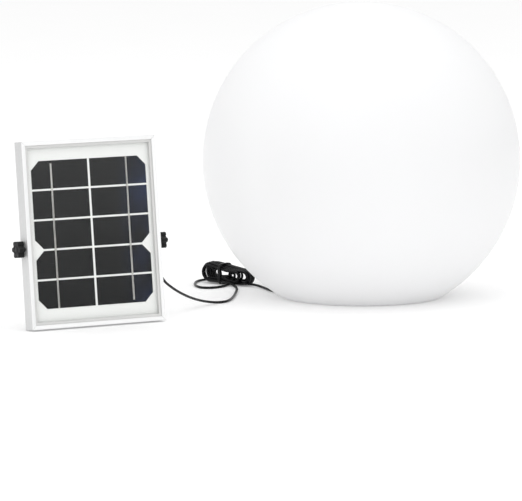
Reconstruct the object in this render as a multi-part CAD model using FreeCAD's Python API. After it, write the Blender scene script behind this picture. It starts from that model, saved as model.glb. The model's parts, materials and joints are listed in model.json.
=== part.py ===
import FreeCAD, Part
import math
import os

# Floating pool light: a white globe with a flat base and a sealed lamp module screwed in from below,
# charged by a small framed solar panel on a lead. The panel leans back on a folding stand that two
# star knobs clamp. Millimetres. The origin is the centre of the globe's flat base, on the floor, +Z up.

V = FreeCAD.Vector
UP = V(0, 0, 1)

# ---- Globe shell ----
globe_radius = 200.0
globe_base_radius = 100.9      # radius of the flat that it stands on, before the rim is rounded
globe_wall = 3.2
globe_rim_round = 3.0
seat_thickness = 4.0           # roof of the well, which the module is screwed to
boss_wall = 2.8                # plastic round each brass insert
boss_end = 4.0                 # plastic above each insert
groove_clearance = 4.3         # how much wider and higher than the lead its channel in the base is
lead_azimuth = 165.0           # direction of the channel and the lead, degrees from +X

# ---- Lamp module ----
cup_radius = 52.0              # the cup holds the batteries, and everything round it follows
cup_wall = 3.0
cup_floor = 4.0
neck_gap = 2.0                 # between the cup and the hole in the globe's seat
gasket_margin = 1.5            # from the hole's edge to the gasket
gasket_width = 5.5
gasket_thickness = 2.0
module_plate = 6.0
screw_margin = 6.0             # from the gasket to the screws' circle
plate_margin = 7.0             # from the screws' circle to the plate's edge
well_gap = 4.0                 # between the plate's edge and the well
screw_count = 8
screw_radius = 2.0
screw_head_radius = 4.0
screw_head_height = 2.6
screw_socket_radius = 1.2
thread_gap = 0.05
insert_wall = 1.2
insert_length = 8.0
ledge_width = 4.0
ledge_thickness = 3.0
ledge_drop = 6.0               # from the cup's rim to the ledge under the LED board
dome_flange = 3.0
dome_rise = 26.0
dome_wall = 2.0
dome_skirt = 4.0
dome_skirt_gap = 0.4
dome_seal_section = 0.8
led_board_gap = 2.0
board_thickness = 1.6
led_size = 5.0
led_height = 1.5
led_rings = ((12, 13.0), (4, 33.0))    # how many, and how far in from the board's edge
battery_radius = 9.2
battery_length = 65.0
battery_pitch = 20.0
battery_gap = 0.15
holder_base = 1.5
holder_wall = 2.5
battery_headroom = 6.0         # from the batteries to the control board
control_board_gap = 7.1        # from its corners to the cup's wall
standoff_radius = 2.5
standoff_gap = 1.0             # between a standoff and the battery beside it
standoff_inset = 5.0           # from a standoff's axis to the board's edge
component_height = 9.5         # of the tallest component
component_headroom = 5.0       # from there to the LED board

# ---- Push button under the module ----
button_inset = 15.0            # from the cup's inner wall to the button's axis
button_radius = 9.0
button_side_gap = 0.4
button_cap = 3.4
button_travel = 1.5
button_pocket = 2.5            # depth of its pocket in the plate
button_stop_gap = 0.1
stem_radius = 2.5
stem_above_floor = 1.0
pin_gap = 0.05
clip_radius = 4.5
clip_thickness = 0.6
clip_gap = 0.1
switch_size = 6.0
switch_height = 3.4
switch_plunger = 0.4
switch_board_size = (18.0, 10.0)
switch_board_thickness = 1.2
switch_peg_radius = 1.5
switch_peg_spacing = 13.0

# ---- Lead glands and gland boss ----
lead_radius = 1.6
gland_boss_length = 20.0
gland_boss_width = 20.0
gland_boss_wall = 0.55         # over and under the gland
gland_boss_start = 16.0
boss_floor_gap = 2.5           # from the gland boss to the floor
globe_gland_wall = 2.6         # round the lead
globe_gland_collar = 5.0
globe_gland_taper = 9.0
gland_thread = 8.0
gland_tip_wall = 1.0
panel_gland_wall = 2.4
panel_gland_shoulder = 0.3     # from the thread to the hexagon's flats
panel_gland_collar = 8.0
panel_gland_taper = 12.0
gland_lid_gap = 0.2            # between the hexagon and the junction box's lid
gland_frame_gap = 4.0          # from the frame's back to the gland's axis

# ---- Solar panel, in its own frame: X to the right, Y to the back, Z up its front, origin at the
# ---- middle of the front bottom edge ----
panel_width = 182.0
panel_height = 225.0
panel_place = (-320.1, -287.3)
panel_yaw = 30.5
panel_tilt = 6.9
rail_wall = 1.6
lip_width = 5.0
lip_thickness = 1.4
shelf_width = 7.0
shelf_thickness = 1.0
flange_width = 9.0
flange_thickness = 1.4
seal_edge = 0.6
seal_show = 3.2                # how far the seal shows past the frame's lip
seal_front = 0.5
seal_back = 0.45
glass_thickness = 3.2
cell_thickness = 0.25
ribbon_thickness = 0.2
backsheet_thickness = 0.35
cell_rows = 5
cell_columns = 2
cell_margin_x = 13.0           # from the cells to the panel's side
cell_margin_z = 23.95          # from the cells to the panel's top and bottom
cell_gap_x = 3.0
cell_gap_z = 2.4
cell_chamfer = 11.0
wafer_top_rows = 3             # rows cut from the upper wafer, counted from the top
ribbon_width = 2.2
ribbon_share = 0.35            # where the ribbon crosses its column, from the panel's outer side
ribbon_short = 3.5             # how far a ribbon stops short of the last cell's edge
key_thickness = 4.0
key_leg = 22.0
key_gap = 0.1

# ---- Junction box on the panel's back ----
jbox_width = 52.0
jbox_height = 48.0
jbox_wall = 2.0
jbox_x = 10.0                  # centre, right of the panel's middle
jbox_rise = 38.0               # centre, above the stand's pivots
jbox_lid = 3.0
jbox_post_radius = 3.0
jbox_screw_radius = 1.4
jbox_screw_head = 2.4
jbox_screw_length = 10.0
terminal_size = (24.0, 9.0, 10.0)

# ---- Stand and knobs ----
pivot_height = 97.0
pivot_clearance = 0.3          # between the stand's ear and the backsheet
stand_bar_width = 10.0
stand_bar_thickness = 3.0
stand_side_gap = 6.0           # between the stand and the frame's flange
stand_open_angle = 15.0        # between the panel's back and the stand
stand_inner_corner = 1.0
stand_hole_radius = 2.25
stand_hole_spacing = 100.0
stud_radius = 2.5
spacer_wall = 1.0
spacer_gap = 1.9               # between a spacer and the frame's flange
washer_rim = 3.0
washer_thickness = 0.8
nut_wall = 1.5
nut_thickness = 4.0
knob_core_radius = 7.6
knob_lobe_radius = 2.9
knob_radius = 10.0
knob_lobes = 6
knob_height = 8.0
knob_hub_radius = 5.5
knob_hub_height = 1.0
knob_round = 0.8
body_gap = 0.3                 # between bodies that move past each other

# ---- Lead and its hank ----
hank_centre = (-167.0, 113.0)
hank_turn = -38.0
hank_left_radius = 13.7
hank_right_radius = 10.0
hank_spacing = 53.3
hank_width = 25.0
hank_round = 7.0
tie_thickness = 1.0
tie_width = 4.0
tie_place = -8.0
floor_gap = 0.1

# ---- Worked out from the sizes above ----
globe_centre = math.sqrt(globe_radius ** 2 - globe_base_radius ** 2)
neck_radius = cup_radius + neck_gap
gasket_inner = neck_radius + gasket_margin
gasket_outer = gasket_inner + gasket_width
screw_circle = gasket_outer + screw_margin
module_radius = screw_circle + plate_margin
well_radius = module_radius + well_gap
insert_radius = screw_radius + insert_wall
globe_gland_radius = lead_radius + globe_gland_wall
panel_gland_radius = lead_radius + panel_gland_wall
panel_gland_flats = 2 * (panel_gland_radius + panel_gland_shoulder)
gland_tip_radius = lead_radius + gland_tip_wall
gland_boss_height = 2 * (globe_gland_radius + gland_boss_wall)
plate_bottom = boss_floor_gap + gland_boss_height
plate_top = plate_bottom + module_plate
well_depth = plate_top + gasket_thickness
groove = 2 * lead_radius + groove_clearance
cup_inner = cup_radius - cup_wall
inside_floor = plate_bottom + cup_floor
pack_half_width = battery_pitch / 2 + battery_radius + battery_gap
pack_half_length = battery_length / 2 + battery_gap
battery_bottom = inside_floor + holder_base + thread_gap
control_board_bottom = battery_bottom + 2 * battery_radius + battery_headroom
control_board_top = control_board_bottom + board_thickness
ledge_top = control_board_top + component_height + component_headroom
cup_rim = ledge_top + ledge_drop
led_board_radius = cup_inner - led_board_gap
button_offset = cup_inner - button_inset
seal_inset = rail_wall + seal_edge
glass_front = lip_thickness + seal_front
glass_back = glass_front + glass_thickness
cell_front = glass_back + ribbon_thickness
cell_back = cell_front + cell_thickness
laminate_back = cell_back + backsheet_thickness
shelf_front = laminate_back + seal_back
shelf_back = shelf_front + shelf_thickness
pivot_y = laminate_back + pivot_clearance + stand_bar_width / 2
spacer_radius = stud_radius + spacer_wall
flange_front = pivot_y + spacer_radius + spacer_gap
panel_depth = flange_front + flange_thickness
cells_width = panel_width - 2 * cell_margin_x
cells_height = panel_height - 2 * cell_margin_z
cell_width = (cells_width - (cell_columns - 1) * cell_gap_x) / cell_columns
cell_height = (cells_height - (cell_rows - 1) * cell_gap_z) / cell_rows
panel_gland_y = panel_depth + gland_frame_gap
jbox_back = panel_gland_y + panel_gland_flats / math.sqrt(3) + gland_lid_gap
jbox_z = pivot_height + jbox_rise
stand_half_width = panel_width / 2 - flange_width - stand_side_gap
tilt_sine = math.sin(math.radians(panel_tilt))
tilt_cosine = math.cos(math.radians(panel_tilt))
pivot_world_z = panel_depth * tilt_sine + pivot_height * tilt_cosine - pivot_y * tilt_sine
stand_lean = math.radians(stand_open_angle - panel_tilt)
stand_drop = pivot_world_z - floor_gap - stand_bar_width / 2 * math.sin(stand_lean)
stand_length = stand_drop / math.cos(stand_lean)


def box(low, high):
    """Box between two corners."""
    size = [b - a for a, b in zip(low, high)]
    return Part.makeBox(size[0], size[1], size[2], V(*low))


def cylinder(radius, start, length, axis=UP):
    return Part.makeCylinder(radius, length, V(*start), axis)


def cone(radius_start, radius_end, start, length, axis=UP):
    return Part.makeCone(radius_start, radius_end, length, V(*start), axis)


def ring(inner, outer, bottom, top):
    """Flat ring about the Z axis."""
    return cylinder(outer, (0, 0, bottom), top - bottom).cut(cylinder(inner, (0, 0, bottom), top - bottom))


def turned(profile):
    """Solid of revolution about Z from (radius, z) corners."""
    wire = Part.makePolygon([V(r, 0, z) for r, z in profile] + [V(profile[0][0], 0, profile[0][1])])
    return Part.Face(wire).revolve(V(0, 0, 0), UP, 360)


def prism(corners, direction):
    """Prism from a closed outline of points."""
    wire = Part.makePolygon(corners + [corners[0]])
    return Part.Face(wire).extrude(direction)


def hexagon(across_flats, start, length):
    """Hexagonal prism along X."""
    radius = across_flats / math.sqrt(3)
    corners = []
    for k in range(6):
        angle = math.radians(60 * k)
        corners.append(V(start[0], start[1] + radius * math.cos(angle), start[2] + radius * math.sin(angle)))
    return prism(corners, V(length, 0, 0))


def fuse(shapes):
    """One solid from shapes that touch or overlap."""
    result = shapes[0].multiFuse(shapes[1:])
    return result.removeSplitter()


def around(shape, angle):
    """A copy turned about the Z axis."""
    copy = shape.copy()
    copy.rotate(V(0, 0, 0), UP, angle)
    return copy


def ring_places(count, radius, first=0.0):
    """Points evenly spaced round the Z axis."""
    places = []
    for k in range(count):
        angle = math.radians(first + 360.0 * k / count)
        places.append((radius * math.cos(angle), radius * math.sin(angle)))
    return places


def on_panel(shape):
    """Place a shape from the panel's own frame: tilt back, turn and move to where it stands."""
    placed = shape.copy()
    placed.rotate(V(0, 0, 0), V(1, 0, 0), -panel_tilt)
    placed.rotate(V(0, 0, 0), UP, panel_yaw)
    placed.translate(V(panel_place[0], panel_place[1], panel_depth * tilt_sine))
    return placed


def panel_point(x, y, z):
    """A point of the panel's own frame, in the object's frame."""
    return on_panel(Part.Vertex(x, y, z)).Point


def save(node, shape):
    """Write one node after checking that every solid in it is sound."""
    solids = shape.Solids
    if not solids or not shape.isValid():
        raise ValueError(node + " is not a valid solid")
    for solid in solids:
        if solid.Volume <= 0:
            raise ValueError(node + " has a solid without volume")
    if len(solids) == 1:
        shape = solids[0]
    shape.exportStep("parts/" + node + ".step")


def tube(node, points, radius):
    """Lead along straight runs joined by tangent arcs, each as large as its two runs allow."""
    edges = []
    start = points[0]
    radii = []
    for before, corner, after in zip(points, points[1:], points[2:]):
        arriving = corner - before
        leaving = after - corner
        reach = 0.45 * min(arriving.Length, leaving.Length)
        half_turn = arriving.getAngle(leaving) / 2
        bend = reach / math.tan(half_turn)
        arriving.normalize()
        leaving.normalize()
        inward = leaving - arriving
        inward.normalize()
        first = corner - arriving * reach
        last = corner + leaving * reach
        middle = corner + inward * (bend / math.cos(half_turn) - bend)
        edges.append(Part.LineSegment(start, first).toShape())
        edges.append(Part.Arc(first, middle, last).toShape())
        radii.append(bend)
        start = last
    edges.append(Part.LineSegment(start, points[-1]).toShape())
    path = Part.Wire(edges)
    section = Part.Wire([Part.makeCircle(radius, points[0], points[1] - points[0])])
    solid = path.makePipeShell([section], True, False)
    expected = path.Length * math.pi * radius ** 2
    print(node, "length %.0f" % path.Length, "volume/expected %.4f" % (solid.Volume / expected),
          "radii", " ".join("%.0f" % r for r in radii))
    save(node, solid)


# ------------------------------------------------------------------ globe

def globe_body(radius, floor):
    """Ball cut flat at a height above the floor."""
    ball = Part.makeSphere(radius, V(0, 0, globe_centre))
    above = cylinder(radius * 2, (0, 0, floor), globe_centre + 2 * radius)
    return ball.common(above)


def make_globe_shell():
    outer = globe_body(globe_radius, 0)
    rim = [e for e in outer.Edges if abs(e.BoundBox.ZMax) < 0.01 and abs(e.BoundBox.ZMin) < 0.01]
    outer = outer.makeFillet(globe_rim_round, rim)
    inner = globe_body(globe_radius - globe_wall, globe_wall)
    well_outside = cylinder(well_radius + globe_wall, (0, 0, 0), well_depth + seat_thickness)
    half = groove / 2 + globe_wall
    groove_outside = box((0, -half, 0), (globe_radius, half, groove + globe_wall))
    inner = inner.cut(well_outside).cut(around(groove_outside, lead_azimuth))
    shell = outer.cut(inner)
    bosses = []
    for x, y in ring_places(screw_count, screw_circle):
        bosses.append(cylinder(insert_radius + boss_wall, (x, y, well_depth), insert_length + boss_end))
    shell = fuse([shell] + bosses)
    shell = shell.cut(cylinder(well_radius, (0, 0, -1), well_depth + 1))
    shell = shell.cut(cylinder(neck_radius, (0, 0, 0), well_depth + seat_thickness + 1))
    for x, y in ring_places(screw_count, screw_circle):
        shell = shell.cut(cylinder(insert_radius, (x, y, well_depth - 1), insert_length + 1))
    half = groove / 2
    channel = box((well_radius - 1, -half, -1), (globe_radius, half, groove))
    shell = shell.cut(around(channel, lead_azimuth))
    save("globe_shell", shell)


def make_inserts():
    inserts = []
    for x, y in ring_places(screw_count, screw_circle):
        outside = cylinder(insert_radius, (x, y, well_depth), insert_length)
        inserts.append(outside.cut(cylinder(screw_radius + thread_gap, (x, y, well_depth), insert_length)))
    save("brass_inserts", Part.makeCompound(inserts))


def make_base_gasket():
    save("base_gasket", ring(gasket_inner, gasket_outer, plate_top, well_depth))


# ------------------------------------------------------------------ lamp module

def along_lead(x, y, z):
    """Turn a place given along the lead's direction into the object's frame."""
    angle = math.radians(lead_azimuth)
    return V(x * math.cos(angle) - y * math.sin(angle), x * math.sin(angle) + y * math.cos(angle), z)


gland_axis_z = plate_bottom - gland_boss_height / 2
gland_face = gland_boss_start + gland_boss_length
globe_gland_tip = gland_face + globe_gland_collar + globe_gland_taper
button_place = along_lead(-button_offset, 0, 0)
counterbore_depth = screw_head_height + 0.4
screw_seat = plate_bottom + counterbore_depth


def make_module_housing():
    plate = cylinder(module_radius, (0, 0, plate_bottom), module_plate)
    cup = cylinder(cup_radius, (0, 0, plate_bottom), cup_rim - plate_bottom)
    half = gland_boss_width / 2
    boss_low = (gland_boss_start, -half, plate_bottom - gland_boss_height)
    boss = around(box(boss_low, (gland_face, half, plate_bottom)), lead_azimuth)
    housing = fuse([plate, cup, boss])
    housing = housing.cut(cylinder(cup_inner, (0, 0, inside_floor), cup_rim))
    ledge = ring(cup_inner - ledge_width, cup_inner, ledge_top - ledge_thickness, ledge_top)
    pegs = []
    for side in (-1, 1):
        place = along_lead(-button_offset, side * switch_peg_spacing / 2, inside_floor)
        pegs.append(cylinder(switch_peg_radius, place, switch_board_bottom - inside_floor))
    housing = fuse([housing, ledge] + pegs)
    for x, y in ring_places(screw_count, screw_circle):
        housing = housing.cut(cylinder(screw_radius + 0.2, (x, y, 0), cup_rim))
        housing = housing.cut(cylinder(screw_head_radius + 0.3, (x, y, 0), screw_seat))
    pocket = cylinder(button_radius + button_side_gap, (button_place.x, button_place.y, 0),
                      plate_bottom + button_pocket)
    stem_hole = cylinder(stem_radius + pin_gap, (button_place.x, button_place.y, 0), inside_floor + 1)
    housing = housing.cut(pocket).cut(stem_hole)
    axis = along_lead(1, 0, 0)
    thread_start = along_lead(gland_face - gland_thread, 0, gland_axis_z)
    gland_bore = cylinder(globe_gland_radius + thread_gap, thread_start, gland_thread, axis)
    wire_way = cylinder(lead_radius + 0.4, thread_start, inside_floor)
    housing = housing.cut(gland_bore).cut(wire_way)
    save("module_housing", housing)


def make_module_screws():
    screws = []
    for x, y in ring_places(screw_count, screw_circle):
        head = cylinder(screw_head_radius, (x, y, screw_seat - screw_head_height), screw_head_height)
        shank = cylinder(screw_radius, (x, y, screw_seat), well_depth + insert_length - screw_seat)
        socket = cylinder(screw_socket_radius, (x, y, screw_seat - screw_head_height), screw_head_height / 2)
        screws.append(fuse([head, shank]).cut(socket))
    save("module_screws", Part.makeCompound(screws))


def make_globe_gland():
    axis = along_lead(1, 0, 0)
    thread = cylinder(globe_gland_radius, along_lead(gland_face - gland_thread, 0, gland_axis_z),
                      gland_thread, axis)
    collar = cylinder(globe_gland_radius + 0.5, along_lead(gland_face, 0, gland_axis_z),
                      globe_gland_collar, axis)
    taper_start = along_lead(gland_face + globe_gland_collar, 0, gland_axis_z)
    taper = cone(globe_gland_radius, gland_tip_radius, taper_start, globe_gland_taper, axis)
    save("globe_gland", fuse([thread, collar, taper]))


def make_light_dome():
    base_radius = cup_radius - dome_flange - 1
    ball = (base_radius ** 2 + dome_rise ** 2) / (2 * dome_rise)
    foot = cup_rim + dome_flange
    centre = V(0, 0, foot + dome_rise - ball)
    above = cylinder(cup_radius, (0, 0, foot), 2 * ball)
    cap = Part.makeSphere(ball, centre).common(above)
    flange = cylinder(cup_radius, (0, 0, cup_rim), dome_flange)
    skirt_radius = cup_inner - dome_skirt_gap
    skirt = cylinder(skirt_radius, (0, 0, cup_rim - dome_skirt), dome_skirt)
    dome = fuse([cap, flange, skirt])
    hollow_ball = Part.makeSphere(ball - dome_wall, centre)
    hollow_height = dome_skirt + dome_flange + 1
    hollow_low = cylinder(base_radius - dome_wall, (0, 0, cup_rim - dome_skirt - 1), hollow_height)
    hollow_top = hollow_ball.common(cylinder(cup_radius, (0, 0, foot - 0.5), 2 * ball))
    dome = dome.cut(hollow_low).cut(hollow_top)
    seal_centre = cup_inner - dome_seal_section
    groove_middle = cup_rim - dome_skirt / 2
    half_groove = dome_seal_section + thread_gap
    groove_low = groove_middle - half_groove
    groove_high = groove_middle + half_groove
    groove = ring(seal_centre - half_groove, cup_inner, groove_low, groove_high)
    save("light_dome", dome.cut(groove))
    save("dome_seal", Part.makeTorus(seal_centre, dome_seal_section, V(0, 0, groove_middle)))


def make_led_board():
    board_top = ledge_top + board_thickness
    save("led_board", cylinder(led_board_radius, (0, 0, ledge_top), board_thickness))
    leds = []
    half = led_size / 2
    for count, inset in led_rings:
        radius = led_board_radius - inset
        for k in range(count):
            led = box((radius - half, -half, board_top), (radius + half, half, board_top + led_height))
            leds.append(around(led, 360.0 * k / count))
    save("leds", Part.makeCompound(leds))


def make_batteries():
    base_top = inside_floor + holder_base
    base = box((-pack_half_width, -pack_half_length - holder_wall, inside_floor),
               (pack_half_width, pack_half_length + holder_wall, base_top))
    walls = []
    for side in (-1, 1):
        low = min(side * pack_half_length, side * (pack_half_length + holder_wall))
        walls.append(box((-pack_half_width, low, base_top),
                         (pack_half_width, low + holder_wall, base_top + 1.7 * battery_radius)))
    divider_top = base_top + battery_radius * 0.8
    middle = box((-0.4, -pack_half_length, base_top), (0.4, pack_half_length, divider_top))
    save("battery_holder", around(fuse([base, middle] + walls), lead_azimuth))
    for number, side in ((1, -1), (2, 1)):
        place = (side * battery_pitch / 2, -battery_length / 2, battery_bottom + battery_radius)
        cell = cylinder(battery_radius, place, battery_length, V(0, 1, 0))
        save("battery_%d" % number, around(cell, lead_azimuth))


def make_control_board():
    top = control_board_top
    post_x = pack_half_width + standoff_gap + standoff_radius
    half_x = post_x + standoff_inset
    half_y = math.sqrt((cup_inner - control_board_gap) ** 2 - half_x ** 2)
    board = box((-half_x, -half_y, control_board_bottom), (half_x, half_y, top))
    save("control_board", around(board, lead_azimuth))
    standoffs = []
    for sx in (-1, 1):
        for sy in (-1, 1):
            place = (sx * post_x, sy * (half_y - standoff_inset), inside_floor)
            post = cylinder(standoff_radius, place, control_board_bottom - inside_floor)
            standoffs.append(around(post, lead_azimuth))
    save("board_standoffs", Part.makeCompound(standoffs))
    chip = box((-6, -6, top), (6, 6, top + 1.6))
    coil = cylinder(5.5, (14 - half_x, half_y - 13, top), 6.0)
    capacitor = cylinder(4.0, (half_x - 14, half_y - 13, top), component_height)
    plug_socket = box((half_x - 20, 7 - half_y, top), (half_x - 6, 14 - half_y, top + 6.0))
    driver = box((10 - half_x, 9 - half_y, top), (18 - half_x, 17 - half_y, top + 1.8))
    parts = [around(p, lead_azimuth) for p in (chip, coil, capacitor, plug_socket, driver)]
    save("board_components", Part.makeCompound(parts))


# ------------------------------------------------------------------ push button

cap_top = plate_bottom + button_pocket - button_travel - button_stop_gap
stem_top = inside_floor + stem_above_floor
switch_bottom = stem_top + button_travel + button_stop_gap
switch_board_bottom = switch_bottom + switch_plunger + switch_height


def make_button():
    x, y = button_place.x, button_place.y
    cap = cylinder(button_radius, (x, y, cap_top - button_cap), button_cap)
    lower = [e for e in cap.Edges if e.BoundBox.ZMax < cap_top - button_cap + 0.01]
    cap = cap.makeFillet(1.0, lower)
    stem = cylinder(stem_radius, (x, y, cap_top - 1), stem_top - cap_top + 1)
    neck_low = inside_floor + clip_gap
    neck = ring(stem_radius - 0.6, stem_radius + 1, neck_low, neck_low + clip_thickness)
    neck.translate(V(x, y, 0))
    save("power_button", fuse([cap, stem]).cut(neck))
    clip = ring(stem_radius - 0.6, clip_radius, neck_low, neck_low + clip_thickness)
    clip.translate(V(x, y, 0))
    save("button_clip", clip)
    boot_top = plate_bottom + button_pocket
    outer = button_radius - 0.6
    boot = turned([(outer, cap_top), (outer - 0.9, cap_top),
                   (outer - 3.2, boot_top), (outer - 2.3, boot_top)])
    boot.translate(V(x, y, 0))
    save("button_boot", boot)


def make_switch():
    half = switch_size / 2
    body = box((-half, -half, switch_bottom + switch_plunger), (half, half, switch_board_bottom))
    plunger = cylinder(1.5, (0, 0, switch_bottom), switch_plunger + 0.5)
    switch = fuse([body, plunger])
    half_x = switch_board_size[1] / 2
    half_y = switch_board_size[0] / 2
    board = box((-half_x, -half_y, switch_board_bottom),
                (half_x, half_y, switch_board_bottom + switch_board_thickness))
    for node, shape in (("tact_switch", switch), ("switch_board", board)):
        shape.translate(V(-button_offset, 0, 0))
        save(node, around(shape, lead_azimuth))


# ------------------------------------------------------------------ solar panel

def rail_profile(place):
    """Section of the frame; place turns (inward, depth) into a point."""
    outline = [
        (0, 0), (lip_width, 0), (lip_width, lip_thickness), (rail_wall, lip_thickness),
        (rail_wall, shelf_front), (shelf_width, shelf_front), (shelf_width, shelf_back),
        (rail_wall, shelf_back), (rail_wall, flange_front), (flange_width, flange_front),
        (flange_width, panel_depth), (0, panel_depth)]
    return [place(u, y) for u, y in outline]


def mitre(corners):
    """Block over the panel's whole depth that cuts a rail's ends at 45 degrees."""
    outline = [V(x, -1, z) for x, z in corners]
    return prism(outline, V(0, panel_depth + 2, 0))


def make_frame():
    half = panel_width / 2
    reach = flange_width + 3
    for name, side in (("left", -1), ("right", 1)):
        section = rail_profile(lambda u, y: V(side * (half - u), y, 0))
        rail = prism(section, V(0, 0, panel_height))
        trim = mitre([(side * half, 0), (side * half, panel_height),
                      (side * (half - reach), panel_height - reach), (side * (half - reach), reach)])
        rail = rail.common(trim)
        hole_start = (-half - 1, pivot_y, pivot_height)
        hole = cylinder(stud_radius + pin_gap, hole_start, panel_width + 2, V(1, 0, 0))
        save("frame_" + name, on_panel(rail.cut(hole)))
    for name, edge, sign in (("bottom", 0, 1), ("top", panel_height, -1)):
        section = rail_profile(lambda u, y: V(-half, y, edge + sign * u))
        rail = prism(section, V(panel_width, 0, 0))
        inner = edge + sign * reach
        trim = mitre([(-half, edge), (half, edge), (half - reach, inner), (-half + reach, inner)])
        save("frame_" + name, on_panel(rail.common(trim)))


def make_corner_keys():
    keys = []
    front = shelf_back + key_gap
    back = flange_front - key_gap
    outer = rail_wall
    for side in (-1, 1):
        for low in (True, False):
            corner_x = side * (panel_width / 2 - outer)
            corner_z = outer if low else panel_height - outer
            rise = 1 if low else -1
            inner_x = corner_x - side * key_thickness
            far_x = corner_x - side * key_leg
            inner_z = corner_z + rise * key_thickness
            far_z = corner_z + rise * key_leg
            outline = [V(x, front, z) for x, z in (
                (corner_x, corner_z), (far_x, corner_z), (far_x, inner_z),
                (inner_x, inner_z), (inner_x, far_z), (corner_x, far_z))]
            keys.append(prism(outline, V(0, back - front, 0)))
    save("corner_keys", on_panel(Part.makeCompound(keys)))


def laminate_block(front, back, inset=seal_inset):
    half = panel_width / 2 - inset
    return box((-half, front, inset), (half, back, panel_height - inset))


def make_laminate():
    save("panel_glass", on_panel(laminate_block(glass_front, glass_back)))
    save("backsheet", on_panel(laminate_block(cell_back, laminate_back)))
    seal = laminate_block(lip_thickness, shelf_front, rail_wall)
    seal = seal.cut(laminate_block(glass_front, laminate_back))
    seal = seal.cut(laminate_block(0, panel_depth, lip_width + seal_show))
    save("panel_seal", on_panel(seal))


def cell_corners(row):
    """Which ends of a row have chamfered outer corners: (top, bottom). Row 1 is the top one."""
    top = row == 1 or row == wafer_top_rows + 1
    bottom = row == wafer_top_rows or row == cell_rows
    return top, bottom


def make_cells():
    for row in range(1, cell_rows + 1):
        top, bottom = cell_corners(row)
        z_low = cell_margin_z + (cell_rows - row) * (cell_height + cell_gap_z)
        z_high = z_low + cell_height
        for column, side in ((1, -1), (2, 1)):
            inner = side * cell_gap_x / 2
            outer = side * cells_width / 2
            outline = [(inner, z_low)]
            if bottom:
                outline += [(outer - side * cell_chamfer, z_low), (outer, z_low + cell_chamfer)]
            else:
                outline += [(outer, z_low)]
            if top:
                outline += [(outer, z_high - cell_chamfer), (outer - side * cell_chamfer, z_high)]
            else:
                outline += [(outer, z_high)]
            outline += [(inner, z_high)]
            cell = prism([V(x, cell_front, z) for x, z in outline], V(0, cell_thickness, 0))
            save("solar_cell_%d_%d" % (row, column), on_panel(cell))


def make_ribbons():
    ribbons = []
    low_end = cell_margin_z
    high_end = cell_margin_z + cells_height
    spans = ((-1, low_end, high_end - ribbon_short), (1, low_end + ribbon_short, high_end))
    for side, low, high in spans:
        middle = side * (cells_width / 2 - ribbon_share * cell_width)
        ribbons.append(box((middle - ribbon_width / 2, glass_back, low),
                           (middle + ribbon_width / 2, cell_front, high)))
    save("cell_ribbons", on_panel(Part.makeCompound(ribbons)))


# ------------------------------------------------------------------ junction box

jbox_left = jbox_x - jbox_width / 2
jbox_right = jbox_x + jbox_width / 2
jbox_low = jbox_z - jbox_height / 2
jbox_high = jbox_z + jbox_height / 2
panel_gland_tip = jbox_right + panel_gland_collar + panel_gland_taper


def jbox_posts():
    inset = jbox_wall + jbox_post_radius - 1
    return [(x, z) for x in (jbox_left + inset, jbox_right - inset)
            for z in (jbox_low + inset, jbox_high - inset)]


def make_junction_box():
    back = V(0, 1, 0)
    outside = box((jbox_left, laminate_back, jbox_low), (jbox_right, jbox_back, jbox_high))
    inside = box((jbox_left + jbox_wall, laminate_back + jbox_wall, jbox_low + jbox_wall),
                 (jbox_right - jbox_wall, jbox_back, jbox_high - jbox_wall))
    upright = [e for e in outside.Edges if e.BoundBox.YLength > jbox_back - laminate_back - 1]
    case = outside.makeFillet(3.0, upright).cut(inside)
    floor = laminate_back + jbox_wall
    posts = [cylinder(jbox_post_radius, (x, floor, z), jbox_back - floor, back) for x, z in jbox_posts()]
    case = fuse([case] + posts)
    lid_low = (jbox_left - 1, jbox_back, jbox_low - 1)
    lid = box(lid_low, (jbox_right + 1, jbox_back + jbox_lid, jbox_high + 1))
    upright = [e for e in lid.Edges if e.BoundBox.YLength > jbox_lid - 0.1]
    lid = lid.makeFillet(3.5, upright)
    screws = []
    head_seat = jbox_back + jbox_lid - 1.6
    for x, z in jbox_posts():
        case = case.cut(cylinder(jbox_screw_radius, (x, jbox_back - jbox_screw_length, z),
                                 jbox_screw_length, back))
        lid = lid.cut(cylinder(jbox_screw_radius + 0.2, (x, jbox_back - 1, z), jbox_lid + 2, back))
        lid = lid.cut(cylinder(jbox_screw_head + 0.2, (x, head_seat, z), jbox_lid, back))
        shank = cylinder(jbox_screw_radius, (x, head_seat - jbox_screw_length, z), jbox_screw_length, back)
        head = cylinder(jbox_screw_head, (x, head_seat, z), 1.5, back)
        slot = box((x - 0.4, head_seat + 0.7, z - 1.8), (x + 0.4, head_seat + 2, z + 1.8))
        screws.append(fuse([shank, head]).cut(slot))
    thread_start = (jbox_right - jbox_wall - 1, panel_gland_y, jbox_z)
    thread = cylinder(panel_gland_radius, thread_start, jbox_wall + 1, V(1, 0, 0))
    case = case.cut(cylinder(panel_gland_radius + thread_gap, thread_start, jbox_wall + 2, V(1, 0, 0)))
    save("junction_box", on_panel(case))
    save("junction_lid", on_panel(lid))
    save("junction_screws", on_panel(Part.makeCompound(screws)))
    collar = hexagon(panel_gland_flats, (jbox_right, panel_gland_y, jbox_z), panel_gland_collar)
    taper = cone(panel_gland_radius, gland_tip_radius,
                 (jbox_right + panel_gland_collar, panel_gland_y, jbox_z), panel_gland_taper, V(1, 0, 0))
    save("panel_gland", on_panel(fuse([thread, collar, taper])))
    half = terminal_size[0] / 2
    low_z = jbox_z - terminal_size[2] / 2
    block = box((jbox_x - half, floor, low_z),
                (jbox_x + half, floor + terminal_size[1], low_z + terminal_size[2]))
    for place in (-0.5, 0.5):
        x = jbox_x + place * half
        block = block.cut(cylinder(2.2, (x, floor + terminal_size[1] - 4, jbox_z), 6, back))
    save("terminal_block", on_panel(block))


# ------------------------------------------------------------------ stand and knobs

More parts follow.
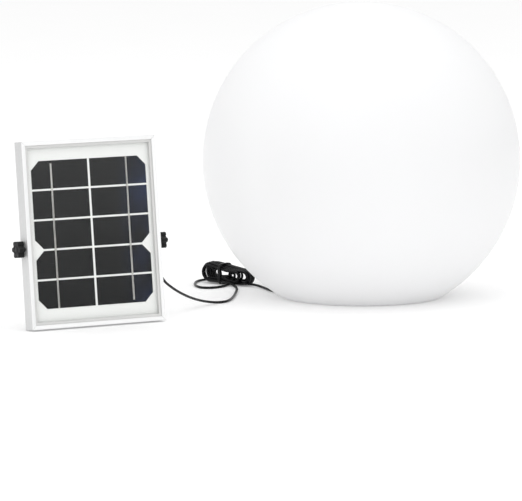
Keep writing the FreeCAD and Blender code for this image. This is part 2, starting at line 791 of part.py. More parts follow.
def make_stand():
    """Flat bar bent to a U, hung from the pivots; drawn hanging straight down, then swung open."""
    outer = stand_half_width
    inner = outer - stand_bar_thickness
    half = stand_bar_width / 2
    blank = box((-outer, -half, -stand_length), (outer, half, 0))
    bends = [e for e in blank.Edges if e.BoundBox.YLength > stand_bar_width - 1 and e.BoundBox.ZMax < -1]
    blank = blank.makeFillet(stand_inner_corner + stand_bar_thickness, bends)
    window = box((-inner, -half - 1, -stand_length + stand_bar_thickness), (inner, half + 1, 1))
    bends = [e for e in window.Edges if e.BoundBox.YLength > stand_bar_width - 1 and e.BoundBox.ZMax < -1]
    window = window.makeFillet(stand_inner_corner, bends)
    bar = blank.cut(window)
    ears = []
    for side in (-1, 1):
        start = min(side * inner, side * outer)
        ears.append(cylinder(half, (start, 0, 0), stand_bar_thickness, V(1, 0, 0)))
    bar = fuse([bar] + ears)
    bar = bar.cut(cylinder(stud_radius + pin_gap, (-outer - 1, 0, 0), 2 * outer + 2, V(1, 0, 0)))
    for side in (-1, 1):
        place = (side * stand_hole_spacing / 2, 0, -stand_length - 1)
        bar = bar.cut(cylinder(stand_hole_radius, place, stand_bar_thickness + 2))
    nuts = []
    for side in (-1, 1):
        start = inner - nut_thickness if side > 0 else -inner
        nut = hexagon(2 * (stud_radius + nut_wall), (start, 0, 0), nut_thickness)
        bore = cylinder(stud_radius + pin_gap / 2, (start - 1, 0, 0), nut_thickness + 2, V(1, 0, 0))
        nuts.append(nut.cut(bore))
    for node, shape in (("stand", bar), ("stand_nuts", Part.makeCompound(nuts))):
        shape.rotate(V(0, 0, 0), V(1, 0, 0), stand_open_angle)
        shape.translate(V(0, pivot_y, pivot_height))
        save(node, on_panel(shape))


def make_pivot_hardware():
    wall_face = panel_width / 2 - rail_wall
    spacer_length = wall_face - stand_half_width - body_gap
    washers = []
    spacers = []
    for side in (-1, 1):
        along = V(side, 0, 0)
        spacer = cylinder(spacer_radius, (side * (stand_half_width + body_gap), 0, 0), spacer_length, along)
        washer = cylinder(stud_radius + washer_rim, (side * panel_width / 2, 0, 0), washer_thickness, along)
        bore = cylinder(stud_radius + pin_gap, (-panel_width, 0, 0), 2 * panel_width, V(1, 0, 0))
        spacers.append(spacer.cut(bore))
        washers.append(washer.cut(bore))
    for node, shapes in (("pivot_spacers", spacers), ("knob_washers", washers)):
        group = Part.makeCompound(shapes)
        group.translate(V(0, pivot_y, pivot_height))
        save(node, on_panel(group))


def knob_shape():
    """Star knob along +X from its hub face at X = 0."""
    along = V(1, 0, 0)
    grip = cylinder(knob_core_radius, (knob_hub_height, 0, 0), knob_height, along)
    lobes = []
    for y, z in ring_places(knob_lobes, knob_radius - knob_lobe_radius):
        lobes.append(cylinder(knob_lobe_radius, (knob_hub_height, y, z), knob_height, along))
    grip = fuse([grip] + lobes)
    top = knob_hub_height + knob_height
    rim = [e for e in grip.Edges if e.BoundBox.XMin > top - 0.01]
    grip = grip.makeFillet(knob_round, rim)
    hub = cylinder(knob_hub_radius, (0, 0, 0), knob_hub_height, along)
    dimple = cylinder(knob_hub_radius - 0.5, (top - 1.0, 0, 0), 2, along)
    return fuse([grip, hub]).cut(dimple)


def make_knobs():
    stud_inner = stand_half_width - stand_bar_thickness - nut_thickness
    hub_face = panel_width / 2 + washer_thickness + body_gap
    stud_outer = hub_face + knob_hub_height + knob_height * 0.6
    for name, side in (("left", -1), ("right", 1)):
        stud = cylinder(stud_radius, (stud_inner, 0, 0), stud_outer - stud_inner, V(1, 0, 0))
        knob = knob_shape()
        knob.translate(V(hub_face, 0, 0))
        knob = knob.cut(stud)
        for node, shape in (("stud_" + name, stud), ("knob_" + name, knob)):
            if side < 0:
                shape = shape.copy()
                shape.rotate(V(0, 0, 0), UP, 180)
            shape.translate(V(0, pivot_y, pivot_height))
            save(node, on_panel(shape))


# ------------------------------------------------------------------ lead

def hank_block(extra):
    """Tapered bundle, standing on its long edge; extra is added all round."""
    bottom = floor_gap + tie_thickness
    slope = math.atan2(hank_right_radius - hank_left_radius, hank_spacing)
    upper = math.pi / 2 + 2 * slope
    half = hank_width / 2 + extra

    def rim(side, angle):
        radius = hank_left_radius if side < 0 else hank_right_radius
        out = radius + extra
        middle = side * hank_spacing / 2
        return V(middle + out * math.cos(angle), -half, bottom + radius + out * math.sin(angle))

    outline = Part.Wire([
        Part.LineSegment(rim(-1, upper), rim(1, upper)).toShape(),
        Part.Arc(rim(1, upper), rim(1, slope), rim(1, -math.pi / 2)).toShape(),
        Part.LineSegment(rim(1, -math.pi / 2), rim(-1, -math.pi / 2)).toShape(),
        Part.Arc(rim(-1, -math.pi / 2), rim(-1, slope + math.pi), rim(-1, upper)).toShape()])
    block = Part.Face(outline).extrude(V(0, 2 * half, 0))
    sides = [e for e in block.Edges if e.BoundBox.YLength < 0.01]
    return block.makeFillet(hank_round + extra, sides)


def make_hank():
    hank = hank_block(0)
    slab = box((tie_place - tie_width / 2, -hank_width, -1), (tie_place + tie_width / 2, hank_width, 60))
    tie = hank_block(tie_thickness).common(slab).cut(hank)
    for node, shape in (("lead_hank", hank), ("lead_tie", tie)):
        shape.rotate(V(0, 0, 0), UP, hank_turn)
        shape.translate(V(hank_centre[0], hank_centre[1], 0))
        save(node, shape)


def make_lead():
    """From the panel's gland to the floor and into the hank, one slack loop, and on to the globe's gland."""
    floor_z = lead_radius + 0.2
    from_panel = [
        panel_point(panel_gland_tip, panel_gland_y, jbox_z),
        panel_point(panel_gland_tip + 14, panel_gland_y, jbox_z),
        panel_point(panel_gland_tip + 28, panel_gland_y + 0.5, jbox_z - 8),
        panel_point(panel_gland_tip + 37, panel_gland_y + 1.5, jbox_z - 25),
        V(-254.5, -208.0, 85.0), V(-252.0, -206.0, 63.0), V(-246.5, -196.0, 45.0),
        V(-235.5, -176.0, 33.0), V(-225.0, -155.0, 23.5), V(-214.0, -131.0, 15.0),
        V(-203.0, -108.0, 8.5), V(-192.0, -89.0, 4.0), V(-181.0, -77.5, floor_z),
        V(-170.5, -69.5, floor_z), V(-164.0, -47.0, floor_z), V(-160.5, -14.0, floor_z),
        V(-158.0, 24.0, floor_z), V(-157.0, 56.0, floor_z), V(-159.5, 80.0, floor_z),
        V(-161.7, 98.7, 3.6)]
    tube("lead_panel_side", from_panel, lead_radius)
    loop = [
        V(-165.3, 102.2, 4.2), V(-171.0, 88.5, floor_z), V(-179.5, 73.5, floor_z),
        V(-190.0, 64.5, floor_z), V(-201.5, 65.5, floor_z), V(-209.0, 79.0, floor_z),
        V(-211.8, 98.0, floor_z), V(-211.5, 117.0, floor_z), V(-208.5, 135.0, floor_z),
        V(-199.5, 144.0, 2.2), V(-184.8, 135.7, 5.0)]
    tube("lead_loop", loop, lead_radius)
    to_globe = [
        V(-145.7, 90.0, 7.0), V(-135.0, 84.5, 4.5), V(-126.0, 72.0, 2.4), V(-119.5, 56.0, floor_z),
        along_lead(114, -1.0, floor_z), along_lead(95, 0.0, 2.4), along_lead(77, -0.3, 4.6),
        along_lead(globe_gland_tip + 11, 0, gland_axis_z), along_lead(globe_gland_tip, 0, gland_axis_z)]
    tube("lead_globe_side", to_globe, lead_radius)


def main():
    os.makedirs("parts", exist_ok=True)
    make_globe_shell()
    make_inserts()
    make_base_gasket()
    make_module_housing()
    make_module_screws()
    make_globe_gland()
    make_light_dome()
    make_led_board()
    make_batteries()
    make_control_board()
    make_button()
    make_switch()
    make_frame()
    make_corner_keys()
    make_laminate()
    make_cells()
    make_ribbons()
    make_junction_box()
    make_stand()
    make_pivot_hardware()
    make_knobs()
    make_hank()
    make_lead()


main()
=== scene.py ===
import json
import math
import random

import bmesh
import bpy
from mathutils import Matrix, Vector


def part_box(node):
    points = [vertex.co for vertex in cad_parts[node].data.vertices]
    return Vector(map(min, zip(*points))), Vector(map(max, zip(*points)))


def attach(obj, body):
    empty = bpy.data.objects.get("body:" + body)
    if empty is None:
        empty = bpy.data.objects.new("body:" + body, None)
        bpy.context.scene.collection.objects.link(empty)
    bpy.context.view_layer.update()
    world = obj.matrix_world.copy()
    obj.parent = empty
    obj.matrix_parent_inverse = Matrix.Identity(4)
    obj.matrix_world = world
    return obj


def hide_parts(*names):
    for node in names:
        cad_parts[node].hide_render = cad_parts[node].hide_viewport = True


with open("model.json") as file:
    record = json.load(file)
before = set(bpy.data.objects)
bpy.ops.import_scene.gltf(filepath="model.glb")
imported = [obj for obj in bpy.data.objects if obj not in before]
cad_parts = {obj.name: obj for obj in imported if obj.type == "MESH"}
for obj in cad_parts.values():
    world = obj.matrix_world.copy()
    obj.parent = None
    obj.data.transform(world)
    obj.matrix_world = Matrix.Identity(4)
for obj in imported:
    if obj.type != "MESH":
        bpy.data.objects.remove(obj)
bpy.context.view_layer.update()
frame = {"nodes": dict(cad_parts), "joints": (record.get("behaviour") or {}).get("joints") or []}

bl_info = {
    "name": "Floating pool light",
    "version": (1, 0, 0),
    "blender": (4, 5, 0),
    "location": "3D View > Sidebar > Pool Light",
    "description": "Builds the shells, lead and finishes of a globe lamp with its solar panel round a CAD frame",
    "category": "Object",
}

MM = 0.001
TINY = 1e-5              # metres, when a corner's place is compared
MERGE_WITHIN = 0.002 * MM
FLAT_WITHIN = math.radians(1.5)


# ---- places read from the frame ----

def joint(name):
    return next(j for j in frame["joints"] if j["name"] == name)


def panel_axes():
    """The solar panel's own frame: X along the hinge, Y to its back, Z up its front."""
    across = Vector(joint("stand_fold")["axis"]).normalized()
    faces = frame["nodes"]["panel_glass"].data.polygons
    back = max(faces, key=lambda f: f.area).normal.copy()
    if back.y < 0:
        back.negate()
    up = across.cross(back).normalized()
    back = up.cross(across)
    turn = Matrix((across, back, up)).transposed()
    corners = [turn.transposed() @ v.co for v in frame["nodes"]["frame_bottom"].data.vertices]
    xs = [c.x for c in corners]
    origin = Vector(((min(xs) + max(xs)) / 2, min(c.y for c in corners), min(c.z for c in corners)))
    return Matrix.Translation(turn @ origin) @ turn.to_4x4()


PANEL = panel_axes()


def panel_box(node):
    """Lowest and highest corner of a CAD node, measured in the panel's own frame."""
    inverse = PANEL.inverted()
    points = [inverse @ v.co for v in frame["nodes"][node].data.vertices]
    low = Vector([min(p[k] for p in points) for k in range(3)])
    high = Vector([max(p[k] for p in points) for k in range(3)])
    return low, high


def lead_direction():
    """Unit vector, on the floor, along the gland that the lead leaves the globe by."""
    low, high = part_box("globe_gland")
    return Vector((low.x + high.x, low.y + high.y, 0)).normalized()


GLOBE_LOW, GLOBE_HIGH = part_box("globe_shell")
LEAD_AZIMUTH = math.atan2(lead_direction().y, lead_direction().x)
PIVOT = PANEL.inverted() @ Vector(joint("stand_fold")["pos_m"])


# ---- settings ----

def length(name, text, default):
    return bpy.props.FloatProperty(name=name, description=text, default=default, unit="LENGTH", precision=5)


def colour(name, text, default):
    return bpy.props.FloatVectorProperty(
        name=name, description=text, default=default, subtype="COLOR", min=0.0, max=1.0)


class GlobeSettings(bpy.types.PropertyGroup):
    diameter: length("Diameter", "Outer diameter of the ball", GLOBE_HIGH.x - GLOBE_LOW.x)
    wall: length("Wall", "Thickness of the moulded wall", 3.2 * MM)
    rim_round: length("Rim round", "Radius between the ball and its flat foot", 3 * MM)
    tone: colour("Plastic", "Colour of the moulded plastic", (0.92, 0.92, 0.925))


class PanelSettings(bpy.types.PropertyGroup):
    edge_round: length("Edge round", "Radius on the edges of the extruded frame", 0.35 * MM)
    finger_pitch: length("Finger pitch", "Distance between the fine conductors on a cell", 2.1 * MM)
    metal: colour("Frame", "Colour of the anodised frame", (0.95, 0.955, 0.955))
    silicon: colour("Cells", "Colour of the silicon", (0.008, 0.0085, 0.009))


class LeadSettings(bpy.types.PropertyGroup):
    diameter: length("Diameter", "Diameter of the lead's sheath", 3.2 * MM)
    sheath: colour("Sheath", "Colour of the rubber sheath", (0.006, 0.006, 0.007))


class StageSettings(bpy.types.PropertyGroup):
    lens: bpy.props.FloatProperty(
        name="Lens", description="Focal length of the camera, in millimetres", default=310.34)
    distance: length("Distance", "How far the camera stands in front of the origin", 5.6464)
    height: length("Height", "Height of the camera above the floor", 0.743)
    sideways: length("Sideways", "How far the camera stands to the right of the origin", -0.1265)
    pitch: bpy.props.FloatProperty(
        name="Pitch", description="How far the camera looks down", default=math.radians(6.92), subtype="ANGLE")
    sky: bpy.props.FloatProperty(name="Sky", description="Strength of the white surroundings", default=1.0)


# ---- modelling helpers ----

def deselect():
    bpy.ops.object.select_all(action="DESELECT")


def activate(obj):
    deselect()
    obj.select_set(True)
    bpy.context.view_layer.objects.active = obj


def settle(obj):
    """Put the object's place, turn and scale into its mesh."""
    activate(obj)
    bpy.ops.object.transform_apply(location=True, rotation=True, scale=True)
    return obj


def name_new(name):
    obj = bpy.context.object
    obj.name = name
    obj.data.name = name
    return settle(obj)


def add_box(name, low, high):
    deselect()
    low, high = Vector(low), Vector(high)
    bpy.ops.mesh.primitive_cube_add(size=1, location=(low + high) / 2, scale=high - low)
    return name_new(name)


def add_rod(name, radius, start, end, segments=32):
    """Cylinder between two points."""
    deselect()
    start, end = Vector(start), Vector(end)
    turn = (end - start).to_track_quat("Z", "Y").to_euler()
    bpy.ops.mesh.primitive_cylinder_add(
        vertices=segments, radius=radius, depth=(end - start).length, location=(start + end) / 2, rotation=turn)
    return name_new(name)


def add_disc(name, radius, height, segments):
    deselect()
    bpy.ops.mesh.primitive_circle_add(
        vertices=segments, radius=radius, fill_type="NGON", location=(0, 0, height))
    return name_new(name)


class Editing:
    """Edit mode on one object, starting with nothing selected."""

    def __init__(self, obj):
        self.obj = obj

    def __enter__(self):
        activate(self.obj)
        bpy.ops.object.mode_set(mode="EDIT")
        bpy.ops.mesh.select_all(action="DESELECT")
        return self

    def __exit__(self, *error):
        bpy.ops.object.mode_set(mode="OBJECT")

    def pick(self, kind, test):
        """Select the vertices, edges or faces that pass the test, and nothing else."""
        bpy.ops.mesh.select_mode(type=kind)
        bpy.ops.mesh.select_all(action="DESELECT")
        mesh = bmesh.from_edit_mesh(self.obj.data)
        parts = {"VERT": mesh.verts, "EDGE": mesh.edges, "FACE": mesh.faces}[kind]
        for part in parts:
            if test(part):
                part.select_set(True)
        mesh.select_flush_mode()
        bmesh.update_edit_mesh(self.obj.data)

    def everything(self):
        bpy.ops.mesh.select_all(action="SELECT")

    def bisect(self, point, normal, **options):
        self.everything()
        bpy.ops.mesh.bisect(plane_co=point, plane_no=normal, **options)

    def move(self, x=0.0, y=0.0, z=0.0):
        bpy.ops.transform.translate(value=(x, y, z))

    def scale(self, x, y, z=1.0, about=(0, 0, 0)):
        bpy.ops.transform.resize(value=(x, y, z), center_override=about)

    def draw(self, radius, height, profile, edges=False):
        """Extrude the selection through (radius, height) steps about the Z axis."""
        for next_radius, next_height in profile:
            if edges:
                bpy.ops.mesh.extrude_edges_move()
            else:
                bpy.ops.mesh.extrude_region_move()
            factor = next_radius / radius
            self.scale(factor, factor)
            self.move(z=next_height - height)
            radius, height = next_radius, next_height


def centre_of(part):
    """Middle of an edge or a face."""
    return sum((v.co for v in part.verts), Vector()) / len(part.verts)


def level(part, axis, value):
    """True if every corner lies at that value on the axis."""
    return all(abs(v.co[axis] - value) < TINY for v in part.verts)


def modify(obj, kind, **values):
    """Add a modifier and apply it."""
    modifier = obj.modifiers.new(kind, kind)
    for key, value in values.items():
        setattr(modifier, key, value)
    activate(obj)
    bpy.ops.object.modifier_apply(modifier=modifier.name)
    return obj


def combine(obj, tool, operation):
    """Boolean of two closed pieces; the tool is used up."""
    modify(obj, "BOOLEAN", object=tool, operation=operation, solver="EXACT")
    bpy.data.objects.remove(tool)
    return obj


def cut(obj, tool):
    return combine(obj, tool, "DIFFERENCE")


def weld(obj, tool):
    return combine(obj, tool, "UNION")


def round_edges(obj, radius, segments=2, angle=35):
    return modify(obj, "BEVEL", width=radius, segments=segments, limit_method="ANGLE",
                  angle_limit=math.radians(angle), use_clamp_overlap=True, harden_normals=False)


def join(parts):
    activate(parts[0])
    for part in parts:
        part.select_set(True)
    bpy.ops.object.join()
    return bpy.context.object


def place(obj, matrix):
    obj.matrix_world = matrix
    return settle(obj)


def copy_of(obj, name):
    twin = bpy.data.objects.new(name, obj.data.copy())
    twin.data.name = name
    bpy.context.scene.collection.objects.link(twin)
    return twin


def hand_over(obj, body, finish, nodes, angle=32):
    """Smooth the piece, give it its finish and let it ride in place of its CAD nodes."""
    activate(obj)
    bpy.ops.object.shade_smooth_by_angle(angle=math.radians(angle))
    obj.data.materials.clear()
    obj.data.materials.append(finish)
    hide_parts(*nodes)
    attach(obj, body)
    return obj


# ---- shader helpers ----

LINE_STRETCH = 40.0      # length of a drawn line, over its width
METAL_SCUFFS = 0.14      # how much rougher a scratch makes bare or anodised metal

class Finish:
    """One material's node tree, with short words for adding and joining nodes."""

    def __init__(self, name, roughness=0.5, metallic=0.0, **sockets):
        self.material = bpy.data.materials.new(name)
        self.material.use_nodes = True
        self.tree = self.material.node_tree
        self.shader = self.tree.nodes["Principled BSDF"]
        self.shader.inputs["Roughness"].default_value = roughness
        self.shader.inputs["Metallic"].default_value = metallic
        for key, value in sockets.items():
            self.shader.inputs[key.replace("_", " ")].default_value = value
        self.place = self.add("ShaderNodeTexCoord").outputs["Object"]

    def add(self, kind, **values):
        node = self.tree.nodes.new(kind)
        for key, value in values.items():
            setattr(node, key, value)
        return node

    def feed(self, node, **inputs):
        """Set or link a node's inputs by name, with _ for a space."""
        for key, value in inputs.items():
            socket = node.inputs[key.replace("_", " ")]
            if isinstance(value, bpy.types.NodeSocket):
                self.tree.links.new(value, socket)
            else:
                socket.default_value = value
        return node

    def group(self, name, **inputs):
        node = self.add("ShaderNodeGroup", node_tree=effect(name))
        self.feed(node, Place=self.place)
        return self.feed(node, **inputs)

    def blend(self, amount, low, high):
        """Colour between two by a mask."""
        node = self.add("ShaderNodeMix", data_type="RGBA")
        ends = [c if isinstance(c, bpy.types.NodeSocket) else (*c, 1.0) for c in (low, high)]
        for socket, value in zip((node.inputs[0], node.inputs[6], node.inputs[7]), (amount, *ends)):
            if isinstance(value, bpy.types.NodeSocket):
                self.tree.links.new(value, socket)
            else:
                socket.default_value = value
        return node.outputs[2]

    def between(self, amount, low, high):
        """Number between two by a mask."""
        node = self.add("ShaderNodeMapRange")
        self.feed(node, Value=amount, To_Min=low, To_Max=high)
        return node.outputs["Result"]

    def bump(self, height, depth, strength=1.0, under=None):
        node = self.add("ShaderNodeBump")
        self.feed(node, Height=height, Distance=depth, Strength=strength)
        if under is not None:
            self.feed(node, Normal=under)
        return node.outputs["Normal"]

    def scuffed(self, rough, mask, amount):
        """A roughness, raised along the scratches."""
        marks = math_node(self.tree, "MULTIPLY", mask, amount)
        return math_node(self.tree, "ADD", rough, marks, True)

    def drawn_lines(self, along, scale):
        """Fine lines along one axis of a frame, or an even grain where there is no axis."""
        place_from = self.place
        if along is not None:
            matrix, axis = along
            stretch = [1.0, 1.0, 1.0]
            stretch[axis] = 1.0 / LINE_STRETCH
            place_from = self.turned(matrix, stretch)
        return noise(self.tree, place_from, scale, 4.0, 0.65)

    def open_where(self, mask):
        """Let light straight through where the mask is white."""
        clear = self.add("ShaderNodeBsdfTransparent")
        mix = self.add("ShaderNodeMixShader")
        for socket, source in zip(mix.inputs, (mask, self.shader.outputs[0], clear.outputs[0])):
            self.tree.links.new(source, socket)
        self.tree.links.new(mix.outputs[0], self.tree.nodes["Material Output"].inputs["Surface"])

    def turned(self, matrix, scale=(1, 1, 1)):
        """Object coordinates seen from a piece's own frame."""
        node = self.add("ShaderNodeMapping")
        inverse = matrix.inverted()
        node.inputs["Location"].default_value = inverse.to_translation()
        node.inputs["Rotation"].default_value = inverse.to_euler("XYZ")
        self.feed(node, Vector=self.place)
        stretch = self.add("ShaderNodeVectorMath", operation="MULTIPLY")
        self.tree.links.new(node.outputs[0], stretch.inputs[0])
        stretch.inputs[1].default_value = scale
        return stretch.outputs[0]


def start_effect(name, inputs, outputs):
    tree = bpy.data.node_groups.new(name, "ShaderNodeTree")
    for label, kind, value in inputs:
        socket = tree.interface.new_socket(label, in_out="INPUT", socket_type=kind)
        if value is not None:
            socket.default_value = value
    for label in outputs:
        tree.interface.new_socket(label, in_out="OUTPUT", socket_type="NodeSocketFloat")
    return tree, tree.nodes.new("NodeGroupInput"), tree.nodes.new("NodeGroupOutput")


def noise(tree, place, scale, detail=2.0, roughness=0.5):
    node = tree.nodes.new("ShaderNodeTexNoise")
    tree.links.new(place, node.inputs["Vector"])
    if isinstance(scale, bpy.types.NodeSocket):
        tree.links.new(scale, node.inputs["Scale"])
    else:
        node.inputs["Scale"].default_value = scale
    node.inputs["Detail"].default_value = detail
    node.inputs["Roughness"].default_value = roughness
    return node.outputs["Fac"]


def math_node(tree, operation, first, second, clamp=False):
    node = tree.nodes.new("ShaderNodeMath")
    node.operation = operation
    node.use_clamp = clamp
    for socket, value in zip(node.inputs, (first, second)):
        if isinstance(value, bpy.types.NodeSocket):
            tree.links.new(value, socket)
        else:
            socket.default_value = value
    return node.outputs[0]


def remap(tree, value, low, high, to_low=0.0, to_high=1.0):
    node = tree.nodes.new("ShaderNodeMapRange")
    tree.links.new(value, node.inputs["Value"])
    for key, number in (("From Min", low), ("From Max", high), ("To Min", to_low), ("To Max", to_high)):
        node.inputs[key].default_value = number
    return node.outputs["Result"]


PLACE = ("Place", "NodeSocketVector", None)


def grain_effect():
    """Moulding grain: a fine height for bump and a slow tone that shifts colour and gloss."""
    tree, taken, given = start_effect(
        "Grain", [PLACE, ("Scale", "NodeSocketFloat", 900.0)], ["Height", "Tone"])
    fine = noise(tree, taken.outputs["Place"], taken.outputs["Scale"], 3.0, 0.6)
    slow_scale = math_node(tree, "MULTIPLY", taken.outputs["Scale"], 0.012)
    tree.links.new(fine, given.inputs["Height"])
    tree.links.new(noise(tree, taken.outputs["Place"], slow_scale, 4.0), given.inputs["Tone"])
    return tree


def scuffs_effect():
    """Hair scratches in two directions, as a mask."""
    tree, taken, given = start_effect("Scuffs", [PLACE, ("Scale", "NodeSocketFloat", 60.0)], ["Mask"])
    masks = []
    for angle, stretch in ((0.5, 14.0), (-0.9, 18.0)):
        turn = tree.nodes.new("ShaderNodeMapping")
        turn.inputs["Rotation"].default_value = (angle, angle * 0.7, angle)
        turn.inputs["Scale"].default_value = (1.0, stretch, stretch * 0.8)
        tree.links.new(taken.outputs["Place"], turn.inputs["Vector"])
        streak = noise(tree, turn.outputs[0], taken.outputs["Scale"], 3.0, 0.7)
        masks.append(remap(tree, streak, 0.66, 0.76))
    patches = remap(tree, noise(tree, taken.outputs["Place"], 14.0), 0.45, 0.65)
    both = math_node(tree, "MAXIMUM", masks[0], masks[1])
    tree.links.new(math_node(tree, "MULTIPLY", both, patches), given.inputs["Mask"])
    return tree


def edge_effect():
    """Worn or polished edges, as a mask from how convex the surface is."""
    tree, taken, given = start_effect("Edges", [PLACE, ("Amount", "NodeSocketFloat", 1.0)], ["Mask"])
    shape = tree.nodes.new("ShaderNodeNewGeometry")
    convex = remap(tree, shape.outputs["Pointiness"], 0.53, 0.62)
    broken = remap(tree, noise(tree, taken.outputs["Place"], 350.0, 4.0), 0.35, 0.65, 0.25, 1.0)
    mask = math_node(tree, "MULTIPLY", convex, broken)
    tree.links.new(math_node(tree, "MULTIPLY", mask, taken.outputs["Amount"], True), given.inputs["Mask"])
    return tree


def dust_effect():
    """Fine dust that lies on faces that look up, as a mask."""
    tree, taken, given = start_effect("Dust", [PLACE, ("Amount", "NodeSocketFloat", 0.3)], ["Mask"])
    shape = tree.nodes.new("ShaderNodeNewGeometry")
    split = tree.nodes.new("ShaderNodeSeparateXYZ")
    tree.links.new(shape.outputs["Normal"], split.inputs[0])
    facing = remap(tree, split.outputs["Z"], 0.2, 1.0)
    specks = remap(tree, noise(tree, taken.outputs["Place"], 420.0, 6.0, 0.7), 0.42, 0.72)
    mask = math_node(tree, "MULTIPLY", facing, specks)
    tree.links.new(math_node(tree, "MULTIPLY", mask, taken.outputs["Amount"], True), given.inputs["Mask"])
    return tree


EFFECTS = {"Grain": grain_effect, "Scuffs": scuffs_effect, "Edges": edge_effect, "Dust": dust_effect}


def effect(name):
    return bpy.data.node_groups.get(name) or EFFECTS[name]()


# ---- finishes ----

def plastic(name, tone, roughness, grain=1200.0, depth=0.03 * MM, dust=0.12, edges=0.4, **sockets):
    """Moulded plastic: fine grain, patchy gloss, paler edges and a little dust."""
    finish = Finish(name, **sockets)
    grainy = finish.group("Grain", Scale=grain)
    edge = finish.group("Edges", Amount=edges)
    film = finish.group("Dust", Amount=dust)
    dark = [c * 0.86 for c in tone]
    pale = [min(1.0, c * 1.25 + 0.03) for c in tone]
    base = finish.blend(grainy.outputs["Tone"], dark, tone)
    base = finish.blend(edge.outputs["Mask"], base, pale)
    base = finish.blend(film.outputs["Mask"], base, (0.55, 0.54, 0.51))
    finish.feed(finish.shader, Base_Color=base,
                Roughness=finish.between(grainy.outputs["Tone"], roughness - 0.07, roughness + 0.09),
                Normal=finish.bump(grainy.outputs["Height"], depth, 0.5))
    return finish.material


def metal(name, tone, roughness, along=None, lines=1500.0, depth=0.006 * MM):
    """Bare metal with fine lines along one axis of a frame, or an even grain."""
    finish = Finish(name, metallic=1.0)
    drawn = finish.drawn_lines(along, lines)
    grainy = finish.group("Grain", Scale=500.0)
    edge = finish.group("Edges", Amount=0.5)
    scuffs = finish.group("Scuffs", Scale=90.0)
    dark = [c * 0.88 for c in tone]
    bright = [min(1.0, c * 1.08) for c in tone]
    base = finish.blend(finish.between(drawn, 0.15, 0.85), dark, tone)
    base = finish.blend(edge.outputs["Mask"], base, bright)
    rough = finish.between(grainy.outputs["Tone"], roughness - 0.06, roughness + 0.07)
    finish.feed(finish.shader, Base_Color=base,
                Roughness=finish.scuffed(rough, scuffs.outputs["Mask"], METAL_SCUFFS),
                Normal=finish.bump(drawn, depth, 0.6))
    return finish.material


def anodised(name, tone, along):
    """White anodised rail, brushed along its length, with painted shade: its sides get a greyer base colour than
    its front face.
    """
    finish = Finish(name, metallic=0.25, Specular_IOR_Level=0.4)
    drawn = finish.drawn_lines(along, 1500.0)
    shape = finish.add("ShaderNodeNewGeometry")
    facing = finish.add("ShaderNodeVectorMath", operation="DOT_PRODUCT")
    finish.tree.links.new(shape.outputs["Normal"], facing.inputs[0])
    facing.inputs[1].default_value = -(PANEL.to_3x3() @ Vector((0, 1, 0)))
    # painted shade: faces turned away from the panel's front get a base colour darkened to 0.68 of the tone
    front = remap(finish.tree, facing.outputs["Value"], 0.4, 0.9)
    edge = finish.group("Edges", Amount=0.4)
    scuffs = finish.group("Scuffs", Scale=90.0)
    grainy = finish.group("Grain", Scale=500.0)
    base = finish.blend(front, [c * 0.68 for c in tone], tone)
    base = finish.blend(math_node(finish.tree, "MULTIPLY", drawn, 0.12), base, [c * 0.7 for c in tone])
    base = finish.blend(edge.outputs["Mask"], base, (0.97, 0.97, 0.97))
    rough = finish.between(grainy.outputs["Tone"], 0.34, 0.46)
    finish.feed(finish.shader, Base_Color=base,
                Roughness=finish.scuffed(rough, scuffs.outputs["Mask"], METAL_SCUFFS),
                Normal=finish.bump(drawn, 0.006 * MM, 0.6))
    return finish.material


def globe_plastic(settings):
    """Rotomoulded polyethylene: faint orange peel, slow shifts in gloss and light inside the wall."""
    finish = Finish("globe_plastic", Subsurface_Weight=0.12, Subsurface_Scale=0.01, IOR=1.51,
                    Subsurface_Radius=(1.0, 0.95, 0.9))
    peel = finish.group("Grain", Scale=160.0)
    grainy = finish.group("Grain", Scale=1500.0)
    scuffs = finish.group("Scuffs", Scale=22.0)
    tone = list(settings.tone)
    base = finish.blend(peel.outputs["Tone"], [c * 0.985 for c in tone], tone)
    faint = math_node(finish.tree, "MULTIPLY", scuffs.outputs["Mask"], 0.25)
    base = finish.blend(faint, base, [c * 0.95 for c in tone])
    rough = finish.between(peel.outputs["Tone"], 0.36, 0.46)
    waves = finish.bump(peel.outputs["Height"], 0.05 * MM, 0.35)
    finish.feed(finish.shader, Base_Color=base,
                Roughness=finish.scuffed(rough, scuffs.outputs["Mask"], 0.08),
                Normal=finish.bump(grainy.outputs["Height"], 0.012 * MM, 0.3, waves))
    return finish.material


def clear_finish(name, tone, roughness, **sockets):
    """Glass or clear plastic that lets the lamps' light through to what lies behind."""
    finish = Finish(name, roughness=roughness, Transmission_Weight=1.0, **sockets)
    smears = finish.group("Grain", Scale=260.0)
    finish.feed(finish.shader,
                Base_Color=finish.blend(smears.outputs["Tone"], [c * 0.97 for c in tone], tone),
                Roughness=finish.between(smears.outputs["Tone"], roughness, roughness + 0.05))
    path = finish.add("ShaderNodeLightPath")
    finish.open_where(
        math_node(finish.tree, "MAXIMUM", path.outputs["Is Shadow Ray"], path.outputs["Is Diffuse Ray"]))
    return finish.material


